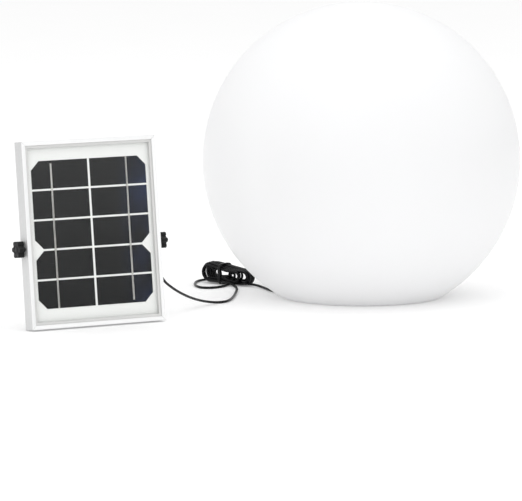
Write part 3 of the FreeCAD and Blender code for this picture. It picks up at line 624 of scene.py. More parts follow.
def silicon(settings):
    """Dark cells with hair-fine conductors across them, and a blue cast that comes and goes."""
    finish = Finish("silicon", Specular_IOR_Level=0.15)
    seen = finish.turned(PANEL)
    split = finish.add("ShaderNodeSeparateXYZ")
    finish.feed(split, Vector=seen)
    period = math_node(finish.tree, "DIVIDE", split.outputs["Z"], settings.finger_pitch)
    phase = math_node(finish.tree, "FRACT", period, 0.0)
    line = math_node(finish.tree, "LESS_THAN", phase, 0.06)
    side = remap(finish.tree, split.outputs["X"], 0.035, 0.085)
    patch = remap(finish.tree, noise(finish.tree, seen, 16.0, 3.0), 0.35, 0.65)
    cast = math_node(finish.tree, "MULTIPLY", side, patch)
    dark = list(settings.silicon)
    base = finish.blend(patch, [c * 0.75 for c in dark], dark)
    base = finish.blend(cast, base, (0.012, 0.022, 0.065))
    base = finish.blend(math_node(finish.tree, "MULTIPLY", line, 0.22), base, (0.3, 0.31, 0.32))
    crystal = finish.group("Grain", Scale=2500.0)
    finish.feed(finish.shader, Base_Color=base, Roughness=finish.between(patch, 0.28, 0.4),
                Normal=finish.bump(crystal.outputs["Height"], 0.004 * MM, 0.4))
    return finish.material


def sheet_white(name, tone):
    """Back film with a fine woven emboss."""
    finish = Finish(name, roughness=0.55)
    seen = finish.turned(PANEL)
    weave = finish.add("ShaderNodeTexWave", wave_type="BANDS", bands_direction="DIAGONAL")
    finish.feed(weave, Vector=seen, Scale=330.0, Distortion=0.4)
    grainy = finish.group("Grain", Scale=700.0)
    base = finish.blend(grainy.outputs["Tone"], [c * 0.96 for c in tone], tone)
    finish.feed(finish.shader, Base_Color=base,
                Roughness=finish.between(grainy.outputs["Tone"], 0.48, 0.62),
                Normal=finish.bump(weave.outputs["Fac"], 0.02 * MM, 0.35))
    return finish.material


def sheath_rubber(settings):
    """Glossy black sheath with a fine grain, a little dust and a few dull rubs."""
    finish = Finish("sheath_rubber", Specular_IOR_Level=0.16)
    grainy = finish.group("Grain", Scale=800.0)
    scuffs = finish.group("Scuffs", Scale=150.0)
    film = finish.group("Dust", Amount=0.03)
    tone = list(settings.sheath)
    base = finish.blend(grainy.outputs["Tone"], [c * 0.7 for c in tone], tone)
    base = finish.blend(film.outputs["Mask"], base, (0.3, 0.3, 0.29))
    rough = finish.between(grainy.outputs["Tone"], 0.24, 0.36)
    finish.feed(finish.shader, Base_Color=base,
                Roughness=finish.scuffed(rough, scuffs.outputs["Mask"], 0.2),
                Normal=finish.bump(grainy.outputs["Height"], 0.02 * MM, 0.35))
    return finish.material


def circuit_board(name, mask, trace):
    """Solder mask over copper tracks, with small pads."""
    finish = Finish(name, IOR=1.5)
    tracks = finish.add("ShaderNodeTexBrick")
    tracks.offset = 0.37
    finish.feed(tracks, Vector=finish.place, Scale=230.0, Mortar_Size=0.045)
    grainy = finish.group("Grain", Scale=900.0)
    base = finish.blend(tracks.outputs["Fac"], mask, trace)
    grime = math_node(finish.tree, "MULTIPLY", grainy.outputs["Tone"], 0.2)
    base = finish.blend(grime, base, (0.02, 0.02, 0.02))
    finish.feed(finish.shader, Base_Color=base,
                Roughness=finish.between(grainy.outputs["Tone"], 0.25, 0.4),
                Normal=finish.bump(tracks.outputs["Fac"], 0.04 * MM, 0.6))
    return finish.material


def make_finishes():
    """Every finish, by the record's slot names."""
    scene = bpy.context.scene
    cross = (PANEL, 0)
    upright = (PANEL, 2)
    return {
        "globe_white": globe_plastic(scene.pool_globe),
        "module_grey": plastic("module_grey", (0.55, 0.56, 0.57), 0.5, 1400.0, dust=0.05),
        "brass": metal("brass", (0.78, 0.58, 0.3), 0.28),
        "rubber_black": plastic("rubber_black", (0.03, 0.03, 0.03), 0.72, 1600.0, dust=0.2),
        "steel": metal("steel", (0.62, 0.62, 0.63), 0.26, None, lines=2200.0),
        "dome_clear": clear_finish("dome_clear", (0.93, 0.94, 0.95), 0.3, IOR=1.5),
        "board_white": circuit_board("board_white", (0.8, 0.8, 0.78), (0.7, 0.7, 0.69)),
        "led": plastic("led", (0.86, 0.72, 0.25), 0.25, 3000.0, dust=0.0, edges=0.0),
        "battery_wrap": plastic("battery_wrap", (0.04, 0.14, 0.4), 0.22, 500.0, dust=0.0),
        "black_plastic": plastic("black_plastic", (0.01, 0.01, 0.011), 0.36, 1500.0, dust=0.04, edges=0.3,
                                 Specular_IOR_Level=0.18),
        "board_green": circuit_board("board_green", (0.02, 0.16, 0.07), (0.05, 0.26, 0.11)),
        "nylon": plastic("nylon", (0.75, 0.74, 0.7), 0.45, dust=0.0),
        "button_red": plastic("button_red", (0.5, 0.04, 0.03), 0.38, 1400.0, dust=0.05),
        "frame_upright": anodised("frame_upright", list(scene.pool_panel.metal), upright),
        "frame_cross": anodised("frame_cross", list(scene.pool_panel.metal), cross),
        "aluminium": metal("aluminium", (0.7, 0.7, 0.71), 0.34, cross),
        "panel_seal": plastic("panel_seal", (0.74, 0.74, 0.73), 0.6, 900.0, dust=0.05, edges=0.0),
        "panel_glass": clear_finish("panel_glass", (0.995, 1.0, 0.995), 0.02, IOR=1.3),
        "backsheet": sheet_white("backsheet", (0.93, 0.94, 0.925)),
        "cell": silicon(scene.pool_panel),
        "ribbon": metal("ribbon", (0.86, 0.85, 0.82), 0.4, None, lines=700.0, depth=0.05 * MM),
        "lead_black": sheath_rubber(scene.pool_lead),
    }


def dress(node, finish):
    """Give a CAD node its finish."""
    frame["nodes"][node].data.materials[0] = finish


# ---- the lead's route: the panel's side and the gland's in millimetres, the rest in metres ----

PANEL_SIDE = (
    (56, 22, 135), (63, 22, 135), (72, 22, 134.5), (82, 22.3, 127), (92, 23.3, 111))
TO_HANK = (
    (-0.2545, -0.2080, 0.0850), (-0.2520, -0.2060, 0.0630), (-0.2465, -0.1960, 0.0450),
    (-0.2355, -0.1760, 0.0330), (-0.2250, -0.1550, 0.0235), (-0.2140, -0.1310, 0.0150),
    (-0.2030, -0.1080, 0.0085), (-0.1920, -0.0890, 0.0040), (-0.1810, -0.0775, 0.0018),
    (-0.1705, -0.0695, 0.0018), (-0.1640, -0.0470, 0.0018), (-0.1605, -0.0140, 0.0018),
    (-0.1580, 0.0240, 0.0018), (-0.1570, 0.0560, 0.0018), (-0.1595, 0.0780, 0.0018),
    (-0.1660, 0.0980, 0.0040))
SLACK_LOOP = (
    (-0.1660, 0.1060, 0.0026), (-0.1705, 0.0890, 0.0018), (-0.1795, 0.0735, 0.0018),
    (-0.1900, 0.0645, 0.0018), (-0.2015, 0.0655, 0.0018), (-0.2090, 0.0790, 0.0018),
    (-0.2118, 0.0980, 0.0018), (-0.2115, 0.1170, 0.0018), (-0.2085, 0.1350, 0.0018),
    (-0.1995, 0.1450, 0.0022), (-0.1850, 0.1380, 0.0040))
TO_GLOBE = (
    (-0.1457, 0.0900, 0.0036), (-0.1350, 0.0845, 0.0034), (-0.1260, 0.0720, 0.0022),
    (-0.1195, 0.0560, 0.0018))
ALONG_GLAND = ((114, -1, 1.8), (95, 0, 2.4), (77, -0.3, 4.6), (62, 0, 7.25), (50, 0, 7.25))

HANK = Matrix.Translation((-0.1670, 0.1130, 0)) @ Matrix.Rotation(math.radians(-38), 4, "Z")
LEFT_FOLD = -26.65
RIGHT_FOLD = 26.65
HANK_FLOOR = 2.7         # height of the lowest turns' centreline
LEFT_BEND = 12.1
RIGHT_BEND = 8.4
TIGHTEST = 6.6           # smallest ring that a fold follows; the joins with the runs bend more sharply
SQUEEZE = 0.9665         # share of its radius at which a spline runs inside a ring of twelve points

# for each turn in winding order: place across the hank, how far inside the outer layer,
# how far its upper and lower runs lean to the middle, and how far its left end is drawn in
FIRST_TURNS = ((-9.9, 2.5, 2.0, 0.0, 0.0), (-8.2, 4.6, 5.0, 2.0, 5.0),
               (-4.9, 3.1, 1.0, 6.0, 9.0), (-6.6, 0.2, 3.0, 0.0, 1.0))
LAST_TURNS = ((9.9, 2.3, 0.0, 0.0, 0.0), (8.2, 4.6, 1.0, 3.0, 3.0), (4.9, 3.0, 4.0, 4.0, 7.0),
              (6.6, 0.1, 0.0, 0.0, 2.0), (3.3, 0.0, 0.0, 2.0, 0.0), (1.6, 3.0, 6.0, 1.0, 2.0),
              (-1.6, 3.0, 3.0, 3.0, 11.0), (-3.3, 0.0, 2.0, 1.0, 0.0), (0.0, 0.0, 0.0, 0.0, 1.5))


def fold(side, across, inward, shift):
    """The seven points of a turn's end, from its foot to its crown, in the hank's frame."""
    slope = (LEFT_BEND - RIGHT_BEND) / (RIGHT_FOLD - LEFT_FOLD)
    if side < 0:
        middle, bend = LEFT_FOLD, LEFT_BEND - inward
    else:
        bend = max(RIGHT_BEND - inward, TIGHTEST)
        middle = min(RIGHT_FOLD, RIGHT_FOLD - (bend - (RIGHT_BEND - inward)) / slope)
    middle += shift
    height = HANK_FLOOR + inward + bend
    points = []
    for step in range(7):
        angle = math.radians(-90 + 30 * step)
        reach = bend if step in (0, 6) else bend / SQUEEZE
        points.append((middle + side * reach * math.cos(angle), across, height + reach * math.sin(angle)))
    return points


def lean(start, end, amount):
    """The middle of a run, moved up or down."""
    return tuple((a + b) / 2 for a, b in zip(start[:2], end[:2])) + ((start[2] + end[2]) / 2 + amount,)


def wind(turns, first_side, draw):
    """Control points of a run of turns; each begins at the foot of one fold and ends at the other's."""
    points = []
    for across, inward, from_top, from_foot, drawn_in in turns:
        across += draw.uniform(-0.25, 0.25)
        inward += draw.uniform(-0.1, 0.3)
        shift = {-1: drawn_in + draw.uniform(-0.8, 0.8), 1: draw.uniform(-1.2, 0.6)}
        rising = fold(first_side, across, inward, shift[first_side])
        falling = fold(-first_side, across, inward, shift[-first_side])[::-1]
        if points:
            points.append(lean(points[-1], rising[0], from_foot))
        points += rising + [lean(rising[-1], falling[0], -from_top)] + falling
    return [HANK @ (Vector(p) * MM) for p in points]


# ---- operators ----

class POOL_OT_stage(bpy.types.Operator):
    """Add the camera, the floor and the soft white surroundings"""

    bl_idname = "pool_light.stage"
    bl_label = "Stage"

    def execute(self, context):
        settings = context.scene.pool_stage
        deselect()
        bpy.ops.object.camera_add(
            location=(settings.sideways, -settings.distance, settings.height),
            rotation=(math.pi / 2 - settings.pitch, 0, 0))
        camera = bpy.context.object
        camera.data.lens = settings.lens
        camera.data.clip_end = 200
        context.scene.camera = camera
        context.scene.view_settings.view_transform = "Standard"

        deselect()
        bpy.ops.mesh.primitive_grid_add(x_subdivisions=8, y_subdivisions=8, size=60, location=(0, 0, 0))
        floor = name_new("studio_floor")
        floor.data.materials.append(floor_finish())

        for name, place_at, size, power in (
                ("softbox_front", (-1.6, -3.4, 2.6), 2.4, 9.0), ("softbox_top", (0.3, 0.2, 3.4), 3.0, 26.0)):
            deselect()
            aim = Vector((-0.05, 0, 0.15)) - Vector(place_at)
            bpy.ops.object.light_add(
                type="AREA", location=place_at, rotation=aim.to_track_quat("-Z", "Y").to_euler())
            lamp = bpy.context.object
            lamp.name = name
            lamp.data.size = size
            lamp.data.energy = power

        context.scene.world = surroundings(settings.sky)
        return {"FINISHED"}


def floor_finish():
    """Pale seamless paper that glows a little, seen from above only."""
    finish = Finish("studio_paper", roughness=0.9, Specular_IOR_Level=0.0, Emission_Strength=0.16,
                    Emission_Color=(1, 1, 1, 1))
    fibres = finish.group("Grain", Scale=700.0)
    finish.feed(finish.shader,
                Base_Color=finish.blend(fibres.outputs["Tone"], (0.85, 0.85, 0.85), (0.87, 0.87, 0.87)),
                Normal=finish.bump(fibres.outputs["Height"], 0.02 * MM, 0.2))
    shape = finish.add("ShaderNodeNewGeometry")
    finish.open_where(shape.outputs["Backfacing"])
    return finish.material


def surroundings(strength):
    """White room, a little darker behind and low on the right."""
    world = bpy.data.worlds.new("white_room")
    world.use_nodes = True
    tree = world.node_tree
    background = tree.nodes["Background"]
    background.inputs["Color"].default_value = (1, 1, 1, 1)
    way = tree.nodes.new("ShaderNodeTexCoord")
    split = tree.nodes.new("ShaderNodeSeparateXYZ")
    tree.links.new(way.outputs["Generated"], split.inputs[0])
    x, y, z = split.outputs
    back = remap(tree, y, -0.1, 0.5, 1.0, 0.8)
    right = remap(tree, x, 0.6, 0.85, 0.0, 1.0)
    low = remap(tree, z, 0.066, 0.125, 1.0, 0.0)
    shade = math_node(tree, "MULTIPLY", math_node(tree, "MULTIPLY", right, low), 0.88)
    lit = math_node(tree, "MULTIPLY", back, math_node(tree, "SUBTRACT", 1.0, shade))
    tree.links.new(math_node(tree, "MULTIPLY", lit, strength), background.inputs["Strength"])
    return world


class POOL_OT_lead(bpy.types.Operator):
    """Lay the lead from the panel, through the tied hank and its slack loop, to the globe"""

    bl_idname = "pool_light.lead"
    bl_label = "Lead"

    def execute(self, context):
        settings = context.scene.pool_lead
        draw = random.Random(7)
        start = [PANEL @ (Vector(p) * MM) for p in PANEL_SIDE]
        turn = Matrix.Rotation(LEAD_AZIMUTH, 4, "Z")
        end = [turn @ (Vector(p) * MM) for p in ALONG_GLAND]
        points = (start + [Vector(p) for p in TO_HANK] + wind(FIRST_TURNS, -1, draw)
                  + [Vector(p) for p in SLACK_LOOP] + wind(LAST_TURNS, 1, draw)
                  + [Vector(p) for p in TO_GLOBE] + end)
        curve = bpy.data.curves.new("lead", "CURVE")
        curve.dimensions = "3D"
        curve.resolution_u = 8
        curve.bevel_depth = settings.diameter / 2
        curve.bevel_resolution = 5
        curve.use_fill_caps = True
        spline = curve.splines.new("NURBS")
        spline.points.add(len(points) - 1)
        for point, place_at in zip(spline.points, points):
            point.co = (*place_at, 1)
        spline.order_u = 3
        spline.use_endpoint_u = True
        lead = bpy.data.objects.new("lead", curve)
        context.scene.collection.objects.link(lead)
        curve.materials.append(finishes["lead_black"])
        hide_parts("lead_panel_side", "lead_hank", "lead_loop", "lead_globe_side")
        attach(lead, "root")

        tie = make_tie()
        panel_gland = make_panel_gland()
        globe_gland = make_globe_gland()
        return {"FINISHED"}


def make_tie():
    """Flat strap round the hank, with its locking head and the cut tail."""
    half, low, high = 12.9 * MM, 0.1 * MM, 27.2 * MM
    strap = add_box("lead_tie_strap", (-10 * MM, -half, low), (-6 * MM, half, high))
    with Editing(strap) as edit:
        edit.pick("FACE", lambda f: abs(f.normal.x) > 0.9)
        bpy.ops.mesh.delete(type="FACE")
        edit.pick("EDGE", lambda e: abs(e.verts[0].co.x - e.verts[1].co.x) > 3 * MM)
        bpy.ops.mesh.bevel(offset=6.5 * MM, segments=8, affect="EDGES")
    modify(strap, "SOLIDIFY", thickness=1 * MM, offset=-1, use_even_offset=True)
    round_edges(strap, 0.25 * MM, 2, 60)
    head = add_box("tie_head", (-10.8 * MM, 12.4 * MM, 11 * MM), (-5.2 * MM, 16.4 * MM, 16.5 * MM))
    with Editing(head) as edit:
        edit.pick("FACE", lambda f: f.normal.z > 0.9)
        bpy.ops.mesh.inset(thickness=1 * MM)
        edit.move(z=-3 * MM)
    round_edges(head, 0.5 * MM, 2, 30)
    tail = add_box("tie_tail", (-9.6 * MM, 14.2 * MM, 14 * MM), (-6.4 * MM, 15.2 * MM, 20 * MM))
    with Editing(tail) as edit:
        edit.pick("FACE", lambda f: f.normal.z > 0.9)
        edit.scale(0.8, 1, 1, (-8 * MM, 14.7 * MM, 20 * MM))
    round_edges(tail, 0.2 * MM, 1, 30)
    tie = join([strap, head, tail])
    tie.name = "lead_tie_band"
    place(tie, HANK)
    return hand_over(tie, "root", finishes["black_plastic"], ["lead_tie"])


def ribbed_relief(name, root, tip, start, end, ribs, hole):
    """Bend relief: a tapered sleeve cut by rings, standing on Z."""
    sleeve = add_disc(name, root, start, 40)
    profile = []
    span = (end - start) / (ribs + 0.5)
    for k in range(ribs):
        wide = root + (tip - root) * k / ribs
        foot = start + k * span
        profile += [(wide, foot + span * 0.62), (wide - 0.8 * MM, foot + span * 0.62),
                    (wide - 0.8 * MM, foot + span), (wide - 0.1 * MM, foot + span)]
    profile.append((tip, end))
    with Editing(sleeve) as edit:
        edit.everything()
        edit.draw(root, start, profile)
    cut(sleeve, add_rod("hole", hole, (0, 0, end - 3 * MM), (0, 0, end + 1 * MM), 24))
    with Editing(sleeve) as edit:
        edit.everything()
        bpy.ops.mesh.normals_make_consistent(inside=False)
    return round_edges(sleeve, 0.15 * MM, 2, 30)


def make_panel_gland():
    low, high = panel_box("panel_gland")
    box_right = panel_box("junction_box")[1].x
    axis_y, axis_z = (low.y + high.y) / 2, (low.z + high.z) / 2
    flats = (high.z - low.z) / 2
    nut = add_rod("gland_nut", flats / math.cos(math.pi / 6) * 0.995, (0, 0, 0), (0, 0, 8 * MM), 6)
    round_edges(nut, 0.45 * MM, 3, 40)
    crown = add_disc("crown", 4.1 * MM, 8 * MM - 0.2 * MM, 40)
    with Editing(crown) as edit:
        edit.everything()
        edit.draw(4.1 * MM, 7.8 * MM,
                  [(4.1 * MM, 8.6 * MM), (3.7 * MM, 9.1 * MM), (3.2 * MM, 9.2 * MM)])
    thread = add_rod("thread", 3.9 * MM, (0, 0, -2.6 * MM), (0, 0, 0.4 * MM), 32)
    relief = ribbed_relief("relief", 3.5 * MM, 2.6 * MM, 9 * MM, high.x - box_right, 4, 1.7 * MM)
    gland = join([nut, crown, thread, relief])
    gland.name = "panel_lead_gland"
    along = Matrix.Translation((box_right, axis_y, axis_z)) @ Matrix.Rotation(math.pi / 2, 4, "Y")
    place(gland, PANEL @ along)
    return hand_over(gland, "root", finishes["black_plastic"], ["panel_gland"])


def make_globe_gland():
    collar = add_rod("gland_collar", 4.7 * MM, (0, 0, 36 * MM), (0, 0, 41 * MM), 48)
    round_edges(collar, 0.6 * MM, 3, 40)
    thread = add_rod("thread", 4.1 * MM, (0, 0, 28.5 * MM), (0, 0, 36.4 * MM), 32)
    relief = ribbed_relief("relief", 4.0 * MM, 2.6 * MM, 40.8 * MM, 50 * MM, 3, 1.7 * MM)
    gland = join([collar, thread, relief])
    gland.name = "globe_lead_gland"
    low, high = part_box("globe_gland")
    height = Matrix.Translation((0, 0, (low.z + high.z) / 2))
    along = Matrix.Rotation(LEAD_AZIMUTH, 4, "Z") @ Matrix.Rotation(math.pi / 2, 4, "Y")
    place(gland, height @ along)
    return hand_over(gland, "root", finishes["black_plastic"], ["globe_gland"])


WELL = 78 * MM           # radius of the hollow under the globe that holds the lamp module
WELL_DEPTH = 20 * MM
NECK = 54 * MM           # radius of the hole in the well's roof
BOSS = 6 * MM            # radius of the plastic round each brass insert
INSERT_HOLE = 3.25 * MM
SCREWS = 8
CHANNEL_SIDE = 6.9 * MM  # half the width over the walls of the lead's channel
CHANNEL_WALLS = ((97.3, 0.0, 3.2), (104.3, 3.0, 10.7), (108.8, 6.6, 10.6))   # outer end, bottom and top, mm


def in_foot(face):
    """True for the large flat face that the globe stands on."""
    return face.normal.z < -0.999 and level(face, 2, 0) and len(face.verts) > 100


class POOL_OT_globe(bpy.types.Operator):
    """Mould the ball with its foot, the well for the lamp module, the screw bosses and the lead's channel"""

    bl_idname = "pool_light.globe"
    bl_label = "Globe"

    def execute(self, context):
        settings = context.scene.pool_globe
        radius = settings.diameter / 2
        middle = GLOBE_HIGH.z - radius
        deselect()
        bpy.ops.mesh.primitive_uv_sphere_add(
            segments=160, ring_count=96, radius=radius, location=(0, 0, middle))
        globe = name_new("globe")
        with Editing(globe) as edit:
            edit.bisect((0, 0, 0), (0, 0, 1), use_fill=True, clear_inner=True)
            edit.pick("EDGE", lambda e: level(e, 2, 0))
            bpy.ops.mesh.bevel(offset=settings.rim_round, segments=5, affect="EDGES")
            edit.pick("FACE", in_foot)
        foot = max(v.co.xy.length for v in globe.data.vertices if v.select)
        with Editing(globe) as edit:
            edit.pick("FACE", in_foot)
            edit.draw(foot, 0, [(WELL, 0), (WELL, WELL_DEPTH), (NECK, WELL_DEPTH)])
            bpy.ops.mesh.delete(type="FACE")
        modify(globe, "SOLIDIFY", thickness=settings.wall, offset=-1, use_even_offset=True)

        bosses, holes = [], []
        for x, y in screw_places():
            bosses.append(add_rod("boss", BOSS, (x, y, WELL_DEPTH + 1 * MM), (x, y, WELL_DEPTH + 12 * MM)))
            holes.append(
                add_rod("hole", INSERT_HOLE, (x, y, WELL_DEPTH - 1 * MM), (x, y, WELL_DEPTH + 8 * MM)))
        turn = Matrix.Rotation(LEAD_AZIMUTH, 4, "Z")
        for outer_end, low, high in CHANNEL_WALLS:
            block = add_box("channel_wall", (76 * MM, -CHANNEL_SIDE, low * MM),
                            (outer_end * MM, CHANNEL_SIDE, high * MM))
            bosses.append(place(block, turn))
        for block in bosses:
            weld(globe, block)
        channel = add_box("channel", (74 * MM, -3.75 * MM, -2 * MM), (118 * MM, 3.75 * MM, 7.5 * MM))
        holes.append(place(channel, turn))
        for hole in holes:
            cut(globe, hole)
        hand_over(globe, "root", finishes["globe_white"], ["globe_shell"], 28)
        return {"FINISHED"}


def screw_places():
    """Axes of the module's screws, read from the CAD screws."""
    points = [v.co for v in frame["nodes"]["module_screws"].data.vertices]
    radius = sum(p.xy.length for p in points) / len(points)
    start = max(points, key=lambda p: p.xy.length)
    first = math.atan2(start.y, start.x)
    return [(radius * math.cos(first + k * math.tau / SCREWS), radius * math.sin(first + k * math.tau / SCREWS))
            for k in range(SCREWS)]


class POOL_OT_panel_frame(bpy.types.Operator):
    """Extrude and mitre the four rails round the solar panel"""

    bl_idname = "pool_light.panel_frame"
    bl_label = "Panel frame"

    def execute(self, context):
        settings = context.scene.pool_panel
        left_low, left_high = panel_box("frame_left")
        bottom_low, bottom_high = panel_box("frame_bottom")
        width = bottom_high.x - bottom_low.x
        height = left_high.z - left_low.z
        half = width / 2
        upright = make_rail("rail", height, settings.edge_round)
        cross = make_rail("rail", width, settings.edge_round)
        quarter = math.pi / 2
        rails = (
            ("frame_left", upright, (-half, 0, 0), 0, "frame_upright"),
            ("frame_right", upright, (half, 0, height), 2 * quarter, "frame_upright"),
            ("frame_bottom", cross, (half, 0, 0), -quarter, "frame_cross"),
            ("frame_top", cross, (-half, 0, height), quarter, "frame_cross"))
        for node, pattern, corner, angle, finish in rails:
            rail = copy_of(pattern, node.replace("frame", "rail"))
            place(rail, PANEL @ Matrix.Translation(corner) @ Matrix.Rotation(angle, 4, "Y"))
            hand_over(rail, "root", finishes[finish], [node])
        for pattern in (upright, cross):
            bpy.data.objects.remove(pattern)
        return {"FINISHED"}


RAIL_WALL = 1.6 * MM
RAIL_DEPTH = 18 * MM
RAIL_BANDS = ((0, 1.4, 5.0), (6.35, 7.35, 7.0), (16.6, 18.0, 9.0))   # front, back and reach of each, mm


def make_rail(name, length_along, edge_round):
    """One rail on Z: an outer wall with a lip, a shelf for the glass and a flange, mitred at both ends."""
    rail = add_box(name, (0, 0, 0), (RAIL_WALL, RAIL_DEPTH, length_along))
    with Editing(rail) as edit:
        for y in (1.4, 6.35, 7.35, 16.6):
            edit.bisect((0, y * MM, 0), (0, 1, 0))
        for low, high, reach in RAIL_BANDS:
            middle = (low + high) / 2 * MM
            edit.pick("FACE", lambda f: f.normal.x > 0.9 and abs(centre_of(f).y - middle) < 0.2 * MM)
            bpy.ops.mesh.extrude_region_move()
            edit.move(x=reach * MM - RAIL_WALL)
        edit.bisect((0, 0, 0), (1, 0, -1), use_fill=True, clear_outer=True)
        edit.bisect((0, 0, length_along), (1, 0, 1), use_fill=True, clear_outer=True)
    return round_edges(rail, edge_round, 2, 30)


class POOL_OT_knobs(bpy.types.Operator):
    """Turn the two star knobs"""

    bl_idname = "pool_light.knobs"
    bl_label = "Star knobs"

    def execute(self, context):
        for node, side in (("knob_left", -1), ("knob_right", 1)):
            low, high = panel_box(node)
            foot = high.x if side < 0 else low.x
            points = [PANEL.inverted() @ v.co for v in frame["nodes"][node].data.vertices]
            far = max(points, key=lambda p: (p.y - PIVOT.y) ** 2 + (p.z - PIVOT.z) ** 2)
            phase = math.atan2(far.z - PIVOT.z, far.y - PIVOT.y)
            knob = make_star(node.replace("knob", "star_knob"))
            outward = Matrix(((0, 0, side), (side, 0, 0), (0, 1, 0))).to_4x4()
            spin = Matrix.Rotation(phase if side > 0 else math.pi - phase, 4, "Z")
            place(knob, PANEL @ Matrix.Translation((foot, PIVOT.y, PIVOT.z)) @ outward @ spin)
            hand_over(knob, node, finishes["black_plastic"], [node])
        return {"FINISHED"}


LOBES = 6


def lobe_radius(angle):
    """Distance in mm from the knob's axis to its outline, at an angle from a lobe's middle."""
    core, lobe, middle = 7.6, 2.9, 7.9
    reach = middle * math.sin(angle)
    if abs(reach) > lobe:
        return core
    return max(core, middle * math.cos(angle) + math.sqrt(lobe ** 2 - reach ** 2))


def make_star(name):
    """Star knob on Z: round hub, six lobes, a dished top and a capped middle."""
    corners = 144
    per_lobe = corners // LOBES
    knob = add_disc(name, 1 * MM, 1 * MM, corners)
    with Editing(knob) as edit:
        for phase in range(per_lobe):
            turned = phase - per_lobe if phase > per_lobe / 2 else phase
            size = lobe_radius(turned * math.tau / corners)

            def in_phase(v, phase=phase):
                step = round(math.atan2(v.co.y, v.co.x) / math.tau * corners) % per_lobe
                return step == phase and v.co.xy.length < 1.5 * MM
            edit.pick("VERT", in_phase)
            edit.scale(size, size)
        edit.everything()
        bpy.ops.mesh.extrude_region_move()
        edit.move(z=8 * MM)
        edit.everything()
        bpy.ops.mesh.normals_make_consistent(inside=False)
    round_edges(knob, 0.8 * MM, 4, 60)
    hub = add_rod("hub", 5.5 * MM, (0, 0, 0), (0, 0, 2 * MM), 72)
    weld(knob, hub)
    dish = add_disc("dish", 5.0 * MM, 8.5 * MM, 72)
    with Editing(dish) as edit:
        edit.everything()
        edit.draw(5.0 * MM, 8.5 * MM, [(5.4 * MM, 10 * MM)])
        edit.everything()
        bpy.ops.mesh.normals_make_consistent(inside=False)
    cut(knob, dish)
    cap = add_rod("cap", 4.2 * MM, (0, 0, 8 * MM), (0, 0, 8.95 * MM), 72)
    round_edges(cap, 0.35 * MM, 3, 60)
    return join([knob, cap])


class POOL_OT_stand(bpy.types.Operator):
    """Round the edges of the flat bar stand and its lock nuts"""

    bl_idname = "pool_light.stand"
    bl_label = "Stand"

    def execute(self, context):
        soften("stand", "stand_bar", "stand", "aluminium", 0.4 * MM)
        soften("stand_nuts", "stand_lock_nuts", "stand", "steel", 0.25 * MM)
        return {"FINISHED"}


def soften(node, name, body, slot, radius):
    """Copy a CAD node, merge its triangles into faces and round its edges."""
    piece = copy_of(frame["nodes"][node], name)
    with Editing(piece) as edit:
        edit.everything()
        bpy.ops.mesh.remove_doubles(threshold=MERGE_WITHIN)
        bpy.ops.mesh.dissolve_limited(angle_limit=FLAT_WITHIN)
    round_edges(piece, radius, 2, 32)
    return hand_over(piece, body, finishes[slot], [node])


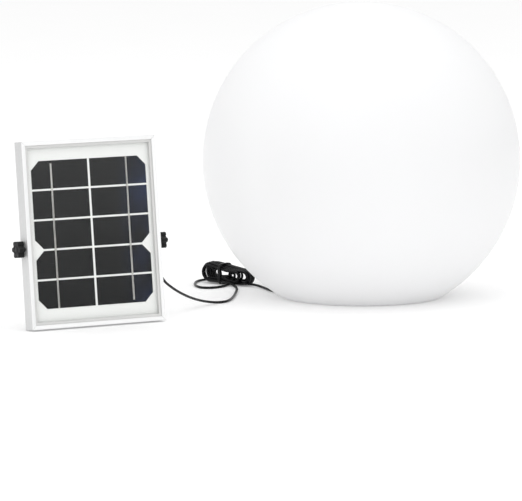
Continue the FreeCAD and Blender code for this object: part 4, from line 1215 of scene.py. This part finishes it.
class POOL_OT_junction_box(bpy.types.Operator):
    """Shape the junction box and its lid on the panel's back"""

    bl_idname = "pool_light.junction_box"
    bl_label = "Junction box"

    def execute(self, context):
        low, high = panel_box("junction_box")
        case = add_box("junction_case", low, high)
        with Editing(case) as edit:
            edit.pick("EDGE", lambda e: abs(e.verts[0].co.y - e.verts[1].co.y) > 10 * MM)
            bpy.ops.mesh.bevel(offset=3 * MM, segments=6, affect="EDGES")
            edit.pick("FACE", lambda f: f.normal.y > 0.9)
            bpy.ops.mesh.inset(thickness=2 * MM)
            bpy.ops.mesh.extrude_region_move()
            edit.move(y=-(high.y - low.y - 2 * MM))
        gland_low, gland_high = panel_box("panel_gland")
        axis_y, axis_z = (gland_low.y + gland_high.y) / 2, (gland_low.z + gland_high.z) / 2
        cut(case, add_rod(
            "hole", 4 * MM, (high.x - 4 * MM, axis_y, axis_z), (high.x + 2 * MM, axis_y, axis_z)))
        round_edges(case, 0.4 * MM, 2, 40)
        place(case, PANEL)
        hand_over(case, "root", finishes["black_plastic"], ["junction_box"])

        low, high = panel_box("junction_lid")
        lid = add_box("junction_cover", low, high)
        with Editing(lid) as edit:
            edit.pick("EDGE", lambda e: abs(e.verts[0].co.y - e.verts[1].co.y) > 2 * MM)
            bpy.ops.mesh.bevel(offset=3.5 * MM, segments=6, affect="EDGES")
            edit.pick("FACE", lambda f: f.normal.y > 0.9)
            bpy.ops.mesh.inset(thickness=9.5 * MM)
            bpy.ops.mesh.inset(thickness=0.6 * MM)
            edit.move(y=-0.6 * MM)
            bpy.ops.mesh.inset(thickness=1.2 * MM)
            bpy.ops.mesh.inset(thickness=0.6 * MM)
            edit.move(y=0.6 * MM)
        inset = 5.2 * MM
        for x in (low.x + inset, high.x - inset):
            for z in (low.z + inset, high.z - inset):
                cut(lid, add_rod("recess", 2.6 * MM, (x, high.y - 1.6 * MM, z), (x, high.y + 1 * MM, z)))
        round_edges(lid, 0.5 * MM, 3, 40)
        place(lid, PANEL)
        hand_over(lid, "root", finishes["black_plastic"], ["junction_lid"])
        soften("junction_screws", "junction_cover_screws", "root", "steel", 0.2 * MM)
        return {"FINISHED"}


class POOL_OT_module(bpy.types.Operator):
    """Soften the edges of the lamp module and its screws and button"""

    bl_idname = "pool_light.module"
    bl_label = "Lamp module"

    def execute(self, context):
        soften("module_housing", "module_body", "root", "module_grey", 0.35 * MM)
        soften("module_screws", "module_cap_screws", "root", "steel", 0.3 * MM)
        soften("power_button", "push_button", "button", "button_red", 0.5 * MM)
        return {"FINISHED"}


class POOL_OT_finishes(bpy.types.Operator):
    """Give every remaining CAD part its finish"""

    bl_idname = "pool_light.finishes"
    bl_label = "Finishes"

    def execute(self, context):
        for node, obj in frame["nodes"].items():
            if not obj.hide_render:
                dress(node, finishes[obj.data.materials[0].name])
        return {"FINISHED"}


class POOL_PT_panel(bpy.types.Panel):
    """Steps that build the floating pool light"""

    bl_idname = "POOL_PT_panel"
    bl_label = "Pool Light"
    bl_space_type = "VIEW_3D"
    bl_region_type = "UI"
    bl_category = "Pool Light"

    def draw(self, context):
        for operator in STEPS:
            self.layout.operator(operator.bl_idname)


STEPS = (POOL_OT_stage, POOL_OT_lead, POOL_OT_globe, POOL_OT_panel_frame, POOL_OT_knobs,
         POOL_OT_stand, POOL_OT_junction_box, POOL_OT_module, POOL_OT_finishes)
SETTINGS = {"pool_globe": GlobeSettings, "pool_panel": PanelSettings,
            "pool_lead": LeadSettings, "pool_stage": StageSettings}
finishes = {}


def register():
    for group in SETTINGS.values():
        bpy.utils.register_class(group)
    for name, group in SETTINGS.items():
        setattr(bpy.types.Scene, name, bpy.props.PointerProperty(type=group))
    for item in (*STEPS, POOL_PT_panel):
        bpy.utils.register_class(item)


def unregister():
    for item in reversed((*STEPS, POOL_PT_panel)):
        bpy.utils.unregister_class(item)
    for name, group in SETTINGS.items():
        delattr(bpy.types.Scene, name)
        bpy.utils.unregister_class(group)


def main():
    register()
    finishes.update(make_finishes())
    for step in STEPS:
        group, word = step.bl_idname.split(".")
        getattr(getattr(bpy.ops, group), word)()


if __name__ == "__main__":
    main()
